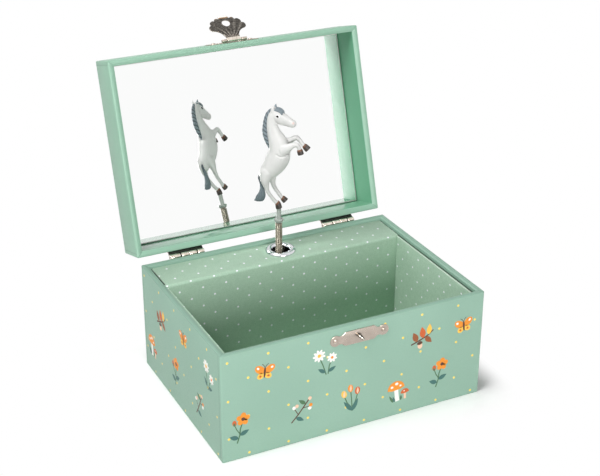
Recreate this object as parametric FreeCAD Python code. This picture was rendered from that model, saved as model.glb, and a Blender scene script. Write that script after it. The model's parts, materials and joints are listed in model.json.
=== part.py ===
import FreeCAD, Part
import math
import os

V = FreeCAD.Vector
AX = V(1, 0, 0)
AY = V(0, 1, 0)
AZ = V(0, 0, 1)

# Box
box_width = 180.0
box_depth = 129.0
box_height = 73.5
wall = 4.0
base_thickness = 3.0
edge_round = 0.8

# Lid
lid_height = 26.5
lid_panel_thickness = 2.5
lid_open_angle = 106.7
rim_gap = 0.2
mirror_thickness = 1.2
mirror_margin = 0.5

# Card lining
card = 1.4
liner_gap = 0.9
deck_side_slot = 2.0
liner_drop = 2.6
deck_drop = 2.0
deck_depth = 26.8
card_fold_radius = 2.0

# Spindle, grommet and figure stem
spindle_x = 1.5
spindle_from_back_wall = 12.1
grommet_offset_x = 0.9
grommet_offset_y = -0.4
grommet_radius = 10.15
grommet_hole_radius = 6.0
grommet_height = 2.0
grommet_metal = 0.7
grommet_tube_length = 3.2
grommet_flats = 6
washer_radius = 9.0
washer_thickness = 0.8
stem_radius = 2.35
stem_wire = 1.4
stem_pitch = 2.0
stem_top = 21.0
stem_below_deck = 6.0
peg_radius = 1.6
peg_top = 31.0
collar_radius = 3.1
collar_height = 1.4
collar_lift = 1.0
spigot_length = 5.0
figure_heading = -33.0
figure_sides = 10

# Hinges
hinge_x = 56.5
hinge_length = 24.0
hinge_leaf_height = 11.0
hinge_leaf = 0.8
hinge_leaf_start = 1.0
hinge_nail_rise = 5.0
hinge_nail_spread = 7.2
hinge_axis_back = 3.8
hinge_axis_drop = 1.2
knuckle_radius = 1.8
hinge_pin_radius = 0.9
knuckle_shares = (0.31, 0.48, 0.21)
knuckle_gap = 0.3
knuckle_pocket = 0.3

# Small fasteners
screw_head_radius = 1.5
screw_head_height = 0.6
screw_shank_radius = 0.8
screw_shank_length = 3.0
nail_shank = 1.1
nail_length = 3.0
hole_spare = 0.5
wire_sides = 6

# Catch on the box front
catch_x = 1.0
catch_z_below_rim = 8.7
catch_mid_half = 9.85
catch_mid_height = 9.4
catch_neck_height = 5.6
catch_shoulder = 2.4
catch_lobe_radius = 3.6
catch_tack_half = 16.4
catch_thickness = 0.7
staple_wire_radius = 0.65
staple_loop_radius = 1.75
staple_reach = 1.6
staple_slant = 45.0
staple_leg_short = 1.5

# Hasp on the lid front
hasp_axis_above_rim = 6.7
hasp_axis_out = 1.75
hasp_knuckle_radius = 1.05
hasp_pin_radius = 0.5
hasp_plate_half = 17.5
hasp_plate_height = 9.0
hasp_plate_thickness = 0.6
hasp_tack_half = 13.5
hasp_tack_rise = 5.0
hasp_knuckle_half = 9.0
hasp_side_gap = 0.3
flap_neck_half = 5.0
flap_neck_length = 3.4
flap_half = 13.2
flap_length = 23.2
flap_thickness = 0.6
flap_hole_radius = 2.8
flap_tab_half = 3.9
flap_tab_length = 3.2
flap_lip_half = 3.0
flap_roll_radius = 1.2
hasp_rest_angle = 135.0

# Musical movement
bed_thickness = 2.5
bed_left = 28.0
bed_right = 24.5
bed_below_deck_top = 6.5
bed_height = 51.0
bed_screw_inset = 4.0
bed_screw_short = 1.0
lug_half = 3.5
lug_overhang = 3.0
lug_lift = 1.1
barrel_below_deck = 45.5
tooth_module = 0.5
pinion_teeth = 12
crown_teeth = 36
crown_face = 1.6
crown_rim = 0.4
crown_sunk = 0.2
barrel_back_gap = 0.4
barrel_wall = 1.0
mainspring_gap = 0.4
mainspring_side_gap = 0.2
mainspring_strip = 0.45
mainspring_turns = 4
arbor_radius = 1.6
arbor_boss_radius = 2.6
arbor_boss_front = 0.4
arbor_nose = 0.2
cylinder_radius = 6.5
cylinder_length = 18.0
cylinder_above_barrel = 12.0
note_count = 18
pins_per_note = 2
pin_size = 0.4
pin_height = 0.5
pin_root = 0.3
note_turn = 137.5
cylinder_shaft_radius = 1.0
cylinder_foot = 2.2
wheel_lift = 0.2
hub_lift = 0.3
mesh_overlap = 0.1
wheel_module = 0.375
wheel_teeth = 40
governor_pinion_teeth = 10
wheel_thickness = 1.2
worm_module = 0.45
worm_wheel_teeth = 12
worm_wheel_thickness = 1.2
worm_radius = 1.2
worm_core_depth = 0.45
worm_crest = 0.3
worm_turns = 2
worm_lift = 1.5
worm_end = 0.4
governor_shaft_radius = 0.6
worm_shaft_radius = 0.7
fan_half = 4.0
fan_hub_radius = 1.4
fan_length = 3.0
fan_from_bearing = 4.6
vane_thickness = 0.5
governor_pivot = 1.0
governor_above_worm = 3.0
governor_below_wheel = 2.6
frame_plate = 1.2
frame_margin = 1.6
frame_end = 2.4
flange_thickness = 1.0
flange_tab = 4.0
flange_screw = 4.6
flange_screw_rises = (-3.4, 1.6)
bearing_front = 4.6
bearing_back = 4.0
comb_thickness = 1.0
comb_tooth_length = 11.0
comb_body = 8.0
comb_tip_gap = 0.15
comb_slit = 0.25
comb_root_slant = 3.85
comb_screw_shares = (0.2, 0.8)
lug_thickness = 2.0
pillar_radius = 1.5
pillar_half_span = 12.6
pillar_drop = 6.0
bridge_thickness = 1.5
bridge_ahead = 1.95
bridge_end = 2.5
bridge_tie_half = 3.0
stalk_half = 4.5
shelf_thickness = 1.6
shelf_gap = 0.8
shelf_setback = 1.2
key_hub_radius = 3.2
key_hub_length = 7.0
key_wing_radius = 6.0
key_wing_out = 4.0
key_wing_rise = 2.8
key_wing_thickness = 1.4
key_wing_root = 2.0
key_eye_radius = 1.9
key_stand_off = 1.2
key_socket_end = 0.5
key_hole_gap = 0.6

# Clearances
running_gap = 0.05
seat_gap = 0.02
screw_gap = 0.05
cut_reach = 1.0

# Tooth proportions, in modules or in shares of the tooth pitch
addendum = 0.8
dedendum = 1.15
tooth_root_share = 0.31
tooth_tip_share = 0.10
crown_addendum = 0.75
crown_dedendum = 1.05
crown_root_share = 0.29
crown_tip_share = 0.07
thread_root_share = 0.26
thread_tip_share = 0.06
thread_sunk = 0.15

# Places that follow from the sizes above
half_w = box_width / 2
half_d = box_depth / 2
inner_w = half_w - wall
inner_d = half_d - wall
deck_z = box_height - deck_drop
deck_front = inner_d - deck_depth
lid_rim = box_height + rim_gap
hinge_y = half_d + hinge_axis_back
hinge_z = box_height - hinge_axis_drop
spindle_y = inner_d - spindle_from_back_wall
catch_z = box_height - catch_z_below_rim
hasp_y = -half_d - hasp_axis_out
hasp_z = lid_rim + hasp_axis_above_rim
bed_front = inner_d - bed_thickness
barrel_z = deck_z - barrel_below_deck
pinion_radius = tooth_module * pinion_teeth / 2
crown_radius = tooth_module * crown_teeth / 2
crown_pitch_y = spindle_y + pinion_radius
crown_root_y = crown_pitch_y + crown_dedendum * tooth_module
crown_low_z = barrel_z + crown_radius - crown_face / 2
barrel_radius = crown_radius + crown_face / 2 + crown_rim
barrel_back = bed_front - barrel_back_gap
drum_z = barrel_z + cylinder_above_barrel
drum_top = drum_z + cylinder_length
wheel_z = drum_top + wheel_lift
wheel_radius = wheel_module * wheel_teeth / 2
governor_x = spindle_x + wheel_radius + wheel_module * governor_pinion_teeth / 2
worm_wheel_radius = worm_module * worm_wheel_teeth / 2
worm_x = governor_x + worm_wheel_radius + worm_radius
upper_lug_z = wheel_z + wheel_thickness + lug_lift
stem_base = deck_z - stem_below_deck
worm_z = upper_lug_z + worm_lift


def box(x0, x1, y0, y1, z0, z1):
    return Part.makeBox(x1 - x0, y1 - y0, z1 - z0, V(x0, y0, z0))


def rod(radius, start, axis, length):
    return Part.makeCylinder(radius, length, start, axis)


def ring(outer, inner, start, axis, length):
    return rod(outer, start, axis, length).cut(rod(inner, start, axis, length))


def fuse(shapes):
    return shapes[0].multiFuse(shapes[1:]).removeSplitter()


def turned(shape, point, axis, angle):
    copy = shape.copy()
    copy.rotate(point, axis, angle)
    return copy


def moved(shape, x, y, z):
    copy = shape.copy()
    copy.translate(V(x, y, z))
    return copy


def rounded_upright_edges(shape, y):
    edges = [e for e in shape.Edges if upright_at(e, y)]
    return shape.makeFillet(edge_round, edges)


def upright_at(edge, y):
    a, b = edge.Vertexes[0].Point, edge.Vertexes[-1].Point
    return abs(a.x - b.x) < 1e-6 and abs(a.y - y) < 1e-6 and abs(b.y - y) < 1e-6


def extruded(edges, direction):
    return Part.Face(Part.Wire(edges)).extrude(direction)


def polygon(points, direction):
    return Part.Face(Part.makePolygon(points + points[:1])).extrude(direction)


def screw(head_seat, direction):
    shank = rod(screw_shank_radius, head_seat, direction, screw_shank_length)
    head = rod(screw_head_radius, head_seat, -direction, screw_head_height)
    return shank.fuse(head)


def screw_holes(seats, direction):
    length = cut_reach + screw_shank_length + hole_spare
    return [screw_bore(s - direction * cut_reach, direction, length) for s in seats]


def screw_bore(start, direction, length):
    return rod(screw_shank_radius + screw_gap, start, direction, length)


# Nails and tacks have a round head on a square shank, square to the Y axis
def nail(head_seat, direction):
    head = rod(screw_head_radius, head_seat, -direction, screw_head_height)
    return head.fuse(square_pin(head_seat, direction, nail_shank, 0.0, nail_length))


def nail_holes(seats, direction):
    side = nail_shank + 2 * screw_gap
    return [square_pin(s, direction, side, cut_reach, nail_length + hole_spare) for s in seats]


def square_pin(seat, direction, side, before, length):
    start, end = sorted((seat.y - direction.y * before, seat.y + direction.y * length))
    return box(seat.x - side / 2, seat.x + side / 2, start, end, seat.z - side / 2, seat.z + side / 2)


# Wire section: a regular polygon that stands for the round wire
def wire_section(centre, along, radius):
    side = along.cross(AZ).normalize()
    up = along.cross(side)
    points = []
    for index in range(wire_sides + 1):
        angle = 2 * math.pi * index / wire_sides
        points.append(centre + side * (radius * math.cos(angle)) + up * (radius * math.sin(angle)))
    return Part.makePolygon(points)


def cut_all(shape, tools):
    for tool in tools:
        shape = shape.cut(tool)
    return shape


def opened_lid(shape):
    return turned(shape, V(0, hinge_y, hinge_z), AX, -lid_open_angle)


# Hinge nails: two in each leaf, on the outside of the back
def hinge_nail_seats(sign):
    seats = []
    z = hinge_leaf_edge(sign) + sign * hinge_nail_rise
    for side in (-1, 1):
        for offset in (-1, 1):
            seats.append(V(side * hinge_x + offset * hinge_nail_spread, half_d + hinge_leaf, z))
    return seats


def hinge_leaf_edge(sign):
    return hinge_z + sign * (hinge_axis_drop + rim_gap + hinge_leaf_start)


def catch_tack_seats():
    return [V(catch_x + s * catch_tack_half, -half_d - catch_thickness, catch_z) for s in (-1, 1)]


def hasp_tack_seats():
    z = hasp_z + hasp_tack_rise
    return [V(catch_x + s * hasp_tack_half, -half_d - hasp_plate_thickness, z) for s in (-1, 1)]


def bed_screw_seats():
    rise = bed_height / 2 - bed_screw_inset
    middle = deck_z - bed_below_deck_top - bed_height / 2
    left = spindle_x - bed_left + bed_screw_inset
    right = spindle_x + bed_right - bed_screw_inset
    return [V(left, half_d, middle + rise), V(right, half_d, middle - rise), V(left, half_d, middle - rise)]


def box_panels():
    front = rounded_upright_edges(box(-half_w, half_w, -half_d, -inner_d, 0, box_height), -half_d)
    front = cut_all(front, nail_holes(catch_tack_seats(), AY) + staple_leg_holes())
    back = rounded_upright_edges(box(-half_w, half_w, inner_d, half_d, 0, box_height), half_d)
    key_hole = rod(arbor_boss_radius + key_hole_gap, V(spindle_x, inner_d - cut_reach, barrel_z), AY,
                   wall + 2 * cut_reach)
    back = cut_all(back, nail_holes(hinge_nail_seats(-1), -AY) + [key_hole] + bed_screw_holes())
    left = box(-half_w, -inner_w, -inner_d, inner_d, 0, box_height)
    right = box(inner_w, half_w, -inner_d, inner_d, 0, box_height)
    base = box(-inner_w, inner_w, -inner_d, inner_d, 0, base_thickness)
    return {"front_panel": front, "back_panel": back, "left_panel": left,
            "right_panel": right, "base_panel": base}


def bed_screw_holes():
    length = wall + bed_thickness - bed_screw_short + hole_spare
    return [screw_bore(s, -AY, length) for s in bed_screw_seats()]


# Deck and partition: one card, folded round a small radius at the deck's front edge.
# The deck is cut back along its left side, from the fold to the back wall.
def deck_card():
    reach = inner_w - liner_gap
    outer, inner = card_fold_radius, card_fold_radius - card
    cy, cz = deck_front + outer, deck_z - outer
    diagonal = math.sqrt(0.5)
    fold_out = Part.Arc(V(-reach, deck_front, cz), V(-reach, cy - outer * diagonal, cz + outer * diagonal),
                        V(-reach, cy, deck_z))
    fold_in = Part.Arc(V(-reach, cy, cz + inner), V(-reach, cy - inner * diagonal, cz + inner * diagonal),
                       V(-reach, cy - inner, cz))
    corners = [V(-reach, cy, deck_z), V(-reach, inner_d, deck_z), V(-reach, inner_d, deck_z - card),
               V(-reach, cy, deck_z - card)]
    foot = [V(-reach, deck_front + card, cz), V(-reach, deck_front + card, base_thickness),
            V(-reach, deck_front, base_thickness), V(-reach, deck_front, cz)]
    edges = [fold_out.toShape()] + lines(corners) + [fold_in.toShape()] + lines(foot)
    sheet = extruded(edges, AX * (2 * reach))
    x, y = grommet_centre()
    hole = rod(grommet_hole_radius + grommet_metal + seat_gap, V(x, y, deck_z - card - cut_reach), AZ,
               card + 2 * cut_reach)
    side_slot = box(-inner_w, -reach + deck_side_slot, cy, inner_d + cut_reach, deck_z - card - cut_reach,
                    deck_z + cut_reach)
    return sheet.cut(hole).cut(side_slot)


def lines(points):
    return [Part.LineSegment(a, b).toShape() for a, b in zip(points, points[1:])]


def grommet_centre():
    return spindle_x + grommet_offset_x, spindle_y + grommet_offset_y


def lining():
    top = deck_z - liner_drop + deck_drop
    floor_top = base_thickness + card
    x_face = inner_w - liner_gap
    y_face = -inner_d + liner_gap
    floor = box(-inner_w + seat_gap, inner_w - seat_gap, -inner_d + seat_gap, deck_front - seat_gap,
                base_thickness, floor_top)
    left = box(-x_face, -x_face + card, y_face + card, deck_front - seat_gap, floor_top, top)
    right = box(x_face - card, x_face, y_face + card, deck_front - seat_gap, floor_top, top)
    front = box(-x_face, x_face, y_face, y_face + card, floor_top, top)
    return {"tray_floor": floor, "side_liner_left": left, "side_liner_right": right, "front_liner": front}


# Grommet: rolled flange on the deck with a tube through it, clinched over a washer below
def grommet():
    x, y = grommet_centre()
    r0, r1 = grommet_hole_radius, grommet_radius
    roll = (r1 - r0) / 2
    bottom = deck_z - card - grommet_tube_length
    rolled = []
    for index in range(grommet_flats + 1):
        angle = math.pi * index / grommet_flats
        rolled.append(V(r0 + roll + roll * math.cos(angle), 0, deck_z + grommet_height * math.sin(angle)))
    tube = [V(r0, 0, bottom), V(r0 + grommet_metal, 0, bottom), V(r0 + grommet_metal, 0, deck_z)]
    body = Part.Face(Part.makePolygon(rolled + tube + rolled[:1])).revolve(V(0, 0, 0), AZ, 360)
    washer = ring(washer_radius, r0 + grommet_metal + seat_gap, V(0, 0, deck_z - card - washer_thickness),
                  AZ, washer_thickness)
    return {"grommet": moved(body, x, y, 0), "grommet_washer": moved(washer, x, y, 0)}


# Hinge knuckles: start and length of each along the pin, in unequal shares
def knuckle_spans():
    spans = []
    start = -hinge_length / 2
    for share in knuckle_shares:
        spans.append((start + knuckle_gap / 2, share * hinge_length - knuckle_gap))
        start += share * hinge_length
    return spans


# Hinge leaf: plate on the outer back face, cranked out along its whole length to the axis.
# It carries the knuckles of its own slots and has a round pocket for each of the other leaf's.
def hinge_leaf_solid(sign, slots):
    plate_near = hinge_leaf_edge(sign)
    plate_far = plate_near + sign * hinge_leaf_height
    low, high = min(plate_near, plate_far), max(plate_near, plate_far)
    left = -hinge_length / 2
    plate = box(left, -left, half_d, half_d + hinge_leaf, low, high)
    inside = (knuckle_radius + hinge_pin_radius) / 2
    crank = [V(left, half_d, plate_near), V(left, half_d + hinge_leaf, plate_near + sign * hinge_leaf),
             V(left, hinge_y, hinge_z + sign * inside), V(left, hinge_y - inside, hinge_z)]
    pieces = [plate, polygon(crank, AX * hinge_length)]
    pockets = []
    for index, (start, length) in enumerate(knuckle_spans()):
        if index in slots:
            pieces.append(rod(knuckle_radius, V(start, hinge_y, hinge_z), AX, length))
        else:
            pockets.append(rod(knuckle_radius + knuckle_pocket, V(start - knuckle_gap, hinge_y, hinge_z), AX,
                               length + 2 * knuckle_gap))
    bore = rod(hinge_pin_radius + running_gap, V(-hinge_length, hinge_y, hinge_z), AX, 2 * hinge_length)
    return cut_all(fuse(pieces), pockets + [bore])


def both_hinges(shape):
    return [moved(shape, side * hinge_x, 0, 0) for side in (-1, 1)]


def hinge_parts():
    box_leaves = Part.makeCompound(both_hinges(hinge_leaf_solid(-1, (0, 2))))
    lid_leaves = Part.makeCompound(both_hinges(hinge_leaf_solid(1, (1,))))
    pin = rod(hinge_pin_radius, V(-hinge_length / 2, hinge_y, hinge_z), AX, hinge_length)
    low, high = hinge_nail_seats(-1), hinge_nail_seats(1)
    return {"hinge_box_leaves": cut_all(box_leaves, nail_holes(low, -AY)),
            "hinge_pins": Part.makeCompound(both_hinges(pin)),
            "hinge_box_nails": Part.makeCompound([nail(s, -AY) for s in low]),
            "hinge_lid_leaves": opened_lid(cut_all(lid_leaves, nail_holes(high, -AY))),
            "hinge_lid_nails": opened_lid(Part.makeCompound([nail(s, -AY) for s in high]))}


# Catch plate: tall middle, sloping shoulders, a round lobe round each tack
def catch_plate():
    half, neck = catch_mid_height / 2, catch_neck_height / 2
    y = -half_d
    shoulder = catch_mid_half + catch_shoulder
    middle = polygon([V(-catch_mid_half, y, half), V(catch_mid_half, y, half), V(shoulder, y, neck),
                      V(shoulder, y, -neck), V(catch_mid_half, y, -half), V(-catch_mid_half, y, -half),
                      V(-shoulder, y, -neck), V(-shoulder, y, neck)], -AY * catch_thickness)
    bar = box(-catch_tack_half, catch_tack_half, y - catch_thickness, y, -neck, neck)
    lobes = [rod(catch_lobe_radius, V(s * catch_tack_half, y, 0), -AY, catch_thickness) for s in (-1, 1)]
    plate = moved(fuse([middle, bar] + lobes), catch_x, 0, catch_z)
    return cut_all(plate, nail_holes(catch_tack_seats(), AY) + staple_leg_holes())


# The staple's two legs stand on a slant, so its loop leans across the plate
def staple_leg_starts():
    slant = math.radians(staple_slant)
    across = V(math.cos(slant), 0, -math.sin(slant)) * staple_loop_radius
    middle = V(catch_x, -half_d - catch_thickness, catch_z)
    return [middle - across, middle + across]


def staple_leg_holes():
    radius = staple_wire_radius + screw_gap
    length = cut_reach + staple_leg_length() + hole_spare
    return [rod(radius, p - AY * cut_reach, AY, length) for p in staple_leg_starts()]


def staple_leg_length():
    return catch_thickness + wall - staple_leg_short


def staple():
    left, right = staple_leg_starts()
    nose = V(catch_x, left.y - staple_reach - staple_loop_radius, catch_z)
    out_left, out_right = left - AY * staple_reach, right - AY * staple_reach
    inside = AY * staple_leg_length()
    path = Part.Wire(lines([left + inside, out_left]) + [Part.Arc(out_left, nose, out_right).toShape()]
                     + lines([out_right, right + inside]))
    return path.makePipeShell([wire_section(left + inside, AY, staple_wire_radius)], True, False)


def catch_parts():
    tacks = [nail(s, AY) for s in catch_tack_seats()]
    return {"catch_plate": catch_plate(), "catch_staple": staple(), "catch_tacks": Part.makeCompound(tacks)}


def lid_parts():
    rail_top = lid_rim + lid_height - lid_panel_thickness
    front = rounded_upright_edges(box(-half_w, half_w, -half_d, -inner_d, lid_rim, rail_top), -half_d)
    front = cut_all(front, nail_holes(hasp_tack_seats(), AY))
    back = rounded_upright_edges(box(-half_w, half_w, inner_d, half_d, lid_rim, rail_top), half_d)
    back = cut_all(back, nail_holes(hinge_nail_seats(1), -AY))
    left = box(-half_w, -inner_w, -inner_d, inner_d, lid_rim, rail_top)
    right = box(inner_w, half_w, -inner_d, inner_d, lid_rim, rail_top)
    panel = box(-half_w, half_w, -half_d, half_d, rail_top, rail_top + lid_panel_thickness)
    panel = rounded_upright_edges(rounded_upright_edges(panel, -half_d), half_d)
    mx, my = inner_w - mirror_margin, inner_d - mirror_margin
    mirror = box(-mx, mx, -my, my, rail_top - mirror_thickness, rail_top - seat_gap)
    closed = {"lid_front_rail": front, "lid_back_rail": back, "lid_left_rail": left,
              "lid_right_rail": right, "lid_top_panel": panel, "mirror": mirror}
    return {name: opened_lid(shape) for name, shape in closed.items()}


# Hasp base plate: two outer knuckles on the lower edge, a window for the flap's knuckle
def hasp_base_plate():
    y = -half_d
    plate = box(-hasp_plate_half, hasp_plate_half, y - hasp_plate_thickness, y, hasp_z,
                hasp_z + hasp_plate_height)
    inner, outer = flap_neck_half + hasp_side_gap, hasp_knuckle_half
    window = box(-inner, inner, y - hasp_plate_thickness - cut_reach, y + cut_reach, hasp_z - cut_reach,
                 hasp_z + hasp_knuckle_radius + hasp_side_gap)
    pieces = [plate.cut(window)]
    for side in (-1, 1):
        x = min(side * inner, side * outer)
        pieces.append(rod(hasp_knuckle_radius, V(x, hasp_y, hasp_z), AX, outer - inner))
        pieces.append(box(x, x + outer - inner, hasp_y, y, hasp_z, hasp_z + hasp_knuckle_radius))
    bore = rod(hasp_pin_radius + seat_gap, V(-hasp_plate_half, hasp_y, hasp_z), AX, 2 * hasp_plate_half)
    plate = moved(fuse(pieces).cut(bore), catch_x, 0, 0)
    return cut_all(plate, nail_holes(hasp_tack_seats(), AY))


# Hasp flap: scalloped plate that hangs from the pin, with the staple's hole and a rolled lift edge
def flap():
    staple_drop = hasp_z - catch_z
    tab_start = flap_length - flap_tab_length
    roll_drop = flap_length - flap_roll_radius

    def at(x, down):
        return V(catch_x + x, hasp_y + flap_thickness / 2, hasp_z - down)

    def scallop(sign, stations):
        points = [at(sign * x, down) for x, down in stations]
        return [Part.Arc(*points[k:k + 3]).toShape() for k in range(0, len(points) - 2, 2)]

    def side(sign):
        curve = scallop(sign, [
            (flap_neck_half, flap_neck_length), (flap_half - 5.6, staple_drop - 7.8),
            (flap_half - 2.7, staple_drop - 6.0), (flap_half, staple_drop - 3.0),
            (flap_half - 2.3, staple_drop - 0.6), (flap_half - 2.6, staple_drop + 2.4),
            (flap_half - 6.0, staple_drop + 2.9), (flap_half - 6.6, staple_drop + 4.8),
            (flap_tab_half, tab_start)])
        neck = lines([at(sign * flap_neck_half, 0), at(sign * flap_neck_half, flap_neck_length)])
        tab = lines([at(sign * flap_tab_half, tab_start), at(sign * flap_lip_half, roll_drop)])
        return neck + curve + tab

    ends = lines([at(-flap_neck_half, 0), at(flap_neck_half, 0)])
    ends += lines([at(-flap_lip_half, roll_drop), at(flap_lip_half, roll_drop)])
    outline = Part.Wire(Part.__sortEdges__(side(1) + side(-1) + ends))
    plate = Part.Face(outline).extrude(-AY * flap_thickness)
    knuckle = rod(hasp_knuckle_radius, V(catch_x - flap_neck_half, hasp_y, hasp_z), AX, 2 * flap_neck_half)
    roll_start = at(-flap_lip_half, roll_drop) - AY * flap_roll_radius
    roll = rod(flap_roll_radius, roll_start, AX, 2 * flap_lip_half)
    hole = rod(flap_hole_radius, V(catch_x, hasp_y - cut_reach, catch_z), AY, 2 * cut_reach)
    bore = rod(hasp_pin_radius + running_gap, V(catch_x - 2 * flap_half, hasp_y, hasp_z), AX, 4 * flap_half)
    return fuse([plate, knuckle, roll]).cut(hole).cut(bore)


def hasp_parts():
    pin = rod(hasp_pin_radius, V(catch_x - hasp_knuckle_half, hasp_y, hasp_z), AX, 2 * hasp_knuckle_half)
    tacks = Part.makeCompound([nail(s, AY) for s in hasp_tack_seats()])
    raised = turned(flap(), V(0, hasp_y, hasp_z), AX, -hasp_rest_angle)
    closed = {"hasp_base_plate": hasp_base_plate(), "hasp_pin": pin, "hasp_tacks": tacks, "hasp_flap": raised}
    return {name: opened_lid(shape) for name, shape in closed.items()}


# Tooth outline: four points a tooth, straight flanks, with backlash
def gear_face(teeth, module, z):
    pitch_radius = module * teeth / 2
    tip, root = pitch_radius + addendum * module, pitch_radius - dedendum * module
    corners = ((root, -tooth_root_share), (tip, -tooth_tip_share), (tip, tooth_tip_share),
               (root, tooth_root_share))
    step = 2 * math.pi / teeth
    points = []
    for index in range(teeth):
        for radius, share in corners:
            angle = (index + share) * step
            points.append(V(radius * math.cos(angle), radius * math.sin(angle), z))
    return Part.Face(Part.makePolygon(points + points[:1]))


def spur_gear(teeth, module, x, y, z, width, bore, phase):
    gear = gear_face(teeth, module, 0).extrude(AZ * width)
    gear = gear.cut(rod(bore, V(0, 0, -cut_reach), AZ, width + 2 * cut_reach))
    gear.rotate(V(0, 0, 0), AZ, phase)
    return moved(gear, x, y, z)


# Barrel: cup with crown teeth on its front face; the teeth run radially, like a rack bent to a ring
def spring_barrel():
    root_y = crown_root_y
    tip_y = crown_pitch_y - crown_addendum * tooth_module
    pitch = math.pi * tooth_module
    root, tip = crown_root_share * pitch, crown_tip_share * pitch
    cup = rod(barrel_radius, V(0, root_y, 0), AY, barrel_back - root_y)
    cavity = rod(barrel_radius - barrel_wall, V(0, root_y + barrel_wall, 0), AY, barrel_back - root_y)
    bore = rod(arbor_boss_radius + running_gap, V(0, tip_y - cut_reach, 0), AY, barrel_back)
    tooth = [V(-root, root_y + crown_sunk, 0), V(-root, root_y, 0), V(-tip, tip_y, 0),
             V(tip, tip_y, 0), V(root, root_y, 0), V(root, root_y + crown_sunk, 0)]
    ridge = moved(polygon(tooth, AZ * crown_face), 0, 0, crown_radius - crown_face / 2)
    step = 360.0 / crown_teeth
    ridges = [turned(ridge, V(0, 0, 0), AY, (index + 0.5) * step) for index in range(crown_teeth)]
    barrel = fuse([cup.cut(cavity)] + ridges).cut(bore)
    return moved(barrel, spindle_x, 0, barrel_z)


def barrel_cover():
    start = V(spindle_x, barrel_back - barrel_wall, barrel_z)
    cover_radius = barrel_radius - barrel_wall - seat_gap
    return ring(cover_radius, arbor_boss_radius + running_gap, start, AY, barrel_wall)


# Mainspring: a flat strip in half-turn arcs whose radius grows by half the coil pitch each time
def mainspring():
    start = arbor_boss_radius + mainspring_gap
    end = barrel_radius - barrel_wall - mainspring_gap - mainspring_strip
    growth = (end - start) / (2 * mainspring_turns)
    front = crown_root_y + barrel_wall + mainspring_side_gap
    depth = barrel_back - barrel_wall - mainspring_side_gap - front
    inner, outer = [], []
    for half in range(2 * mainspring_turns - 1):
        centre = growth if half % 2 else 0.0
        radius = start + half * growth
        inner.append(half_turn(centre, radius, half))
        outer.append(half_turn(centre, radius + mainspring_strip, half))
    caps = lines([inner[0].firstVertex(True).Point, outer[0].firstVertex(True).Point])
    caps += lines([inner[-1].lastVertex(True).Point, outer[-1].lastVertex(True).Point])
    outline = Part.Wire(Part.__sortEdges__(inner + outer + caps))
    strip = Part.Face(outline).extrude(AY * depth)
    return moved(strip, spindle_x, front, barrel_z)


def half_turn(centre, radius, half):
    angles = [math.pi * half, math.pi * (half + 0.5), math.pi * (half + 1)]
    points = [V(centre + radius * math.cos(a), 0, radius * math.sin(a)) for a in angles]
    return Part.Arc(*points).toShape()


def winding_parts():
    front = bridge_front() - arbor_nose
    key_start = half_d + key_stand_off
    socket = key_hub_length - key_socket_end
    arbor = rod(arbor_radius, V(0, front, 0), AY, key_start + socket - front)
    boss_front = crown_pitch_y - arbor_boss_front
    boss = rod(arbor_boss_radius, V(0, boss_front, 0), AY, inner_d - boss_front)
    hub = rod(key_hub_radius, V(0, key_start, 0), AY, key_hub_length)
    bore = rod(arbor_radius + seat_gap, V(0, key_start - cut_reach, 0), AY, cut_reach + socket + seat_gap)
    wings = [key_wing_solid(side, key_start) for side in (-1, 1)]
    key = fuse([hub] + wings).cut(bore)
    return {"winding_arbor": moved(arbor.fuse(boss), spindle_x, 0, barrel_z),
            "winding_key": moved(key, spindle_x, 0, barrel_z)}


# Key wing: an ear with a round eye, set on the outer half of the hub
def key_wing_solid(side, key_start):
    centre = V(side * (key_hub_radius + key_wing_out), key_start + key_hub_length + key_wing_rise, 0)
    half = key_wing_thickness / 2
    start = centre - AZ * half
    ear = rod(key_wing_radius, start, AZ, key_wing_thickness)
    root = box(min(0, centre.x), max(0, centre.x), key_start + key_wing_root, centre.y, -half, half)
    eye = rod(key_eye_radius, start - AZ * cut_reach, AZ, key_wing_thickness + 2 * cut_reach)
    return ear.fuse(root).cut(eye)


def bridge_front():
    return spindle_y - bridge_ahead


def pillar_places():
    return [(spindle_x + s * pillar_half_span, barrel_z - pillar_drop) for s in (-1, 1)]


# Bridge in front of the barrel: carries the arbor's nose and, on its shelf, the cylinder's foot
def bridge_parts():
    front = bridge_front()
    back = front + bridge_thickness
    shelf_top = crown_low_z - shelf_gap
    tie_half = pillar_half_span + bridge_end
    tie_z = barrel_z - pillar_drop
    tie = box(spindle_x - tie_half, spindle_x + tie_half, front, back, tie_z - bridge_tie_half,
              tie_z + bridge_tie_half)
    left, right = spindle_x - stalk_half, spindle_x + stalk_half
    stalk = box(left, right, front, back, tie_z, shelf_top)
    shelf = box(left, right, front, crown_pitch_y - shelf_setback, shelf_top - shelf_thickness, shelf_top)
    seats = [V(x, front, z) for x, z in pillar_places()]
    holes = screw_holes(seats, AY)
    bridge = cut_all(fuse([tie, stalk, shelf]), holes)
    bridge = bridge.cut(rod(arbor_radius + running_gap, V(spindle_x, front - cut_reach, barrel_z), AY,
                            bridge_thickness + 2 * cut_reach))
    bridge = bridge.cut(rod(cylinder_shaft_radius + running_gap, V(spindle_x, spindle_y, tie_z), AZ,
                            shelf_top + cut_reach - tie_z))
    length = bed_front - back
    pillars = [cut_all(rod(pillar_radius, V(s.x, back, s.z), AY, length), holes) for s in seats]
    screws = [screw(s, AY) for s in seats]
    return {"barrel_bridge": bridge, "bridge_pillars": Part.makeCompound(pillars),
            "bridge_screws": Part.makeCompound(screws)}


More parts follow.
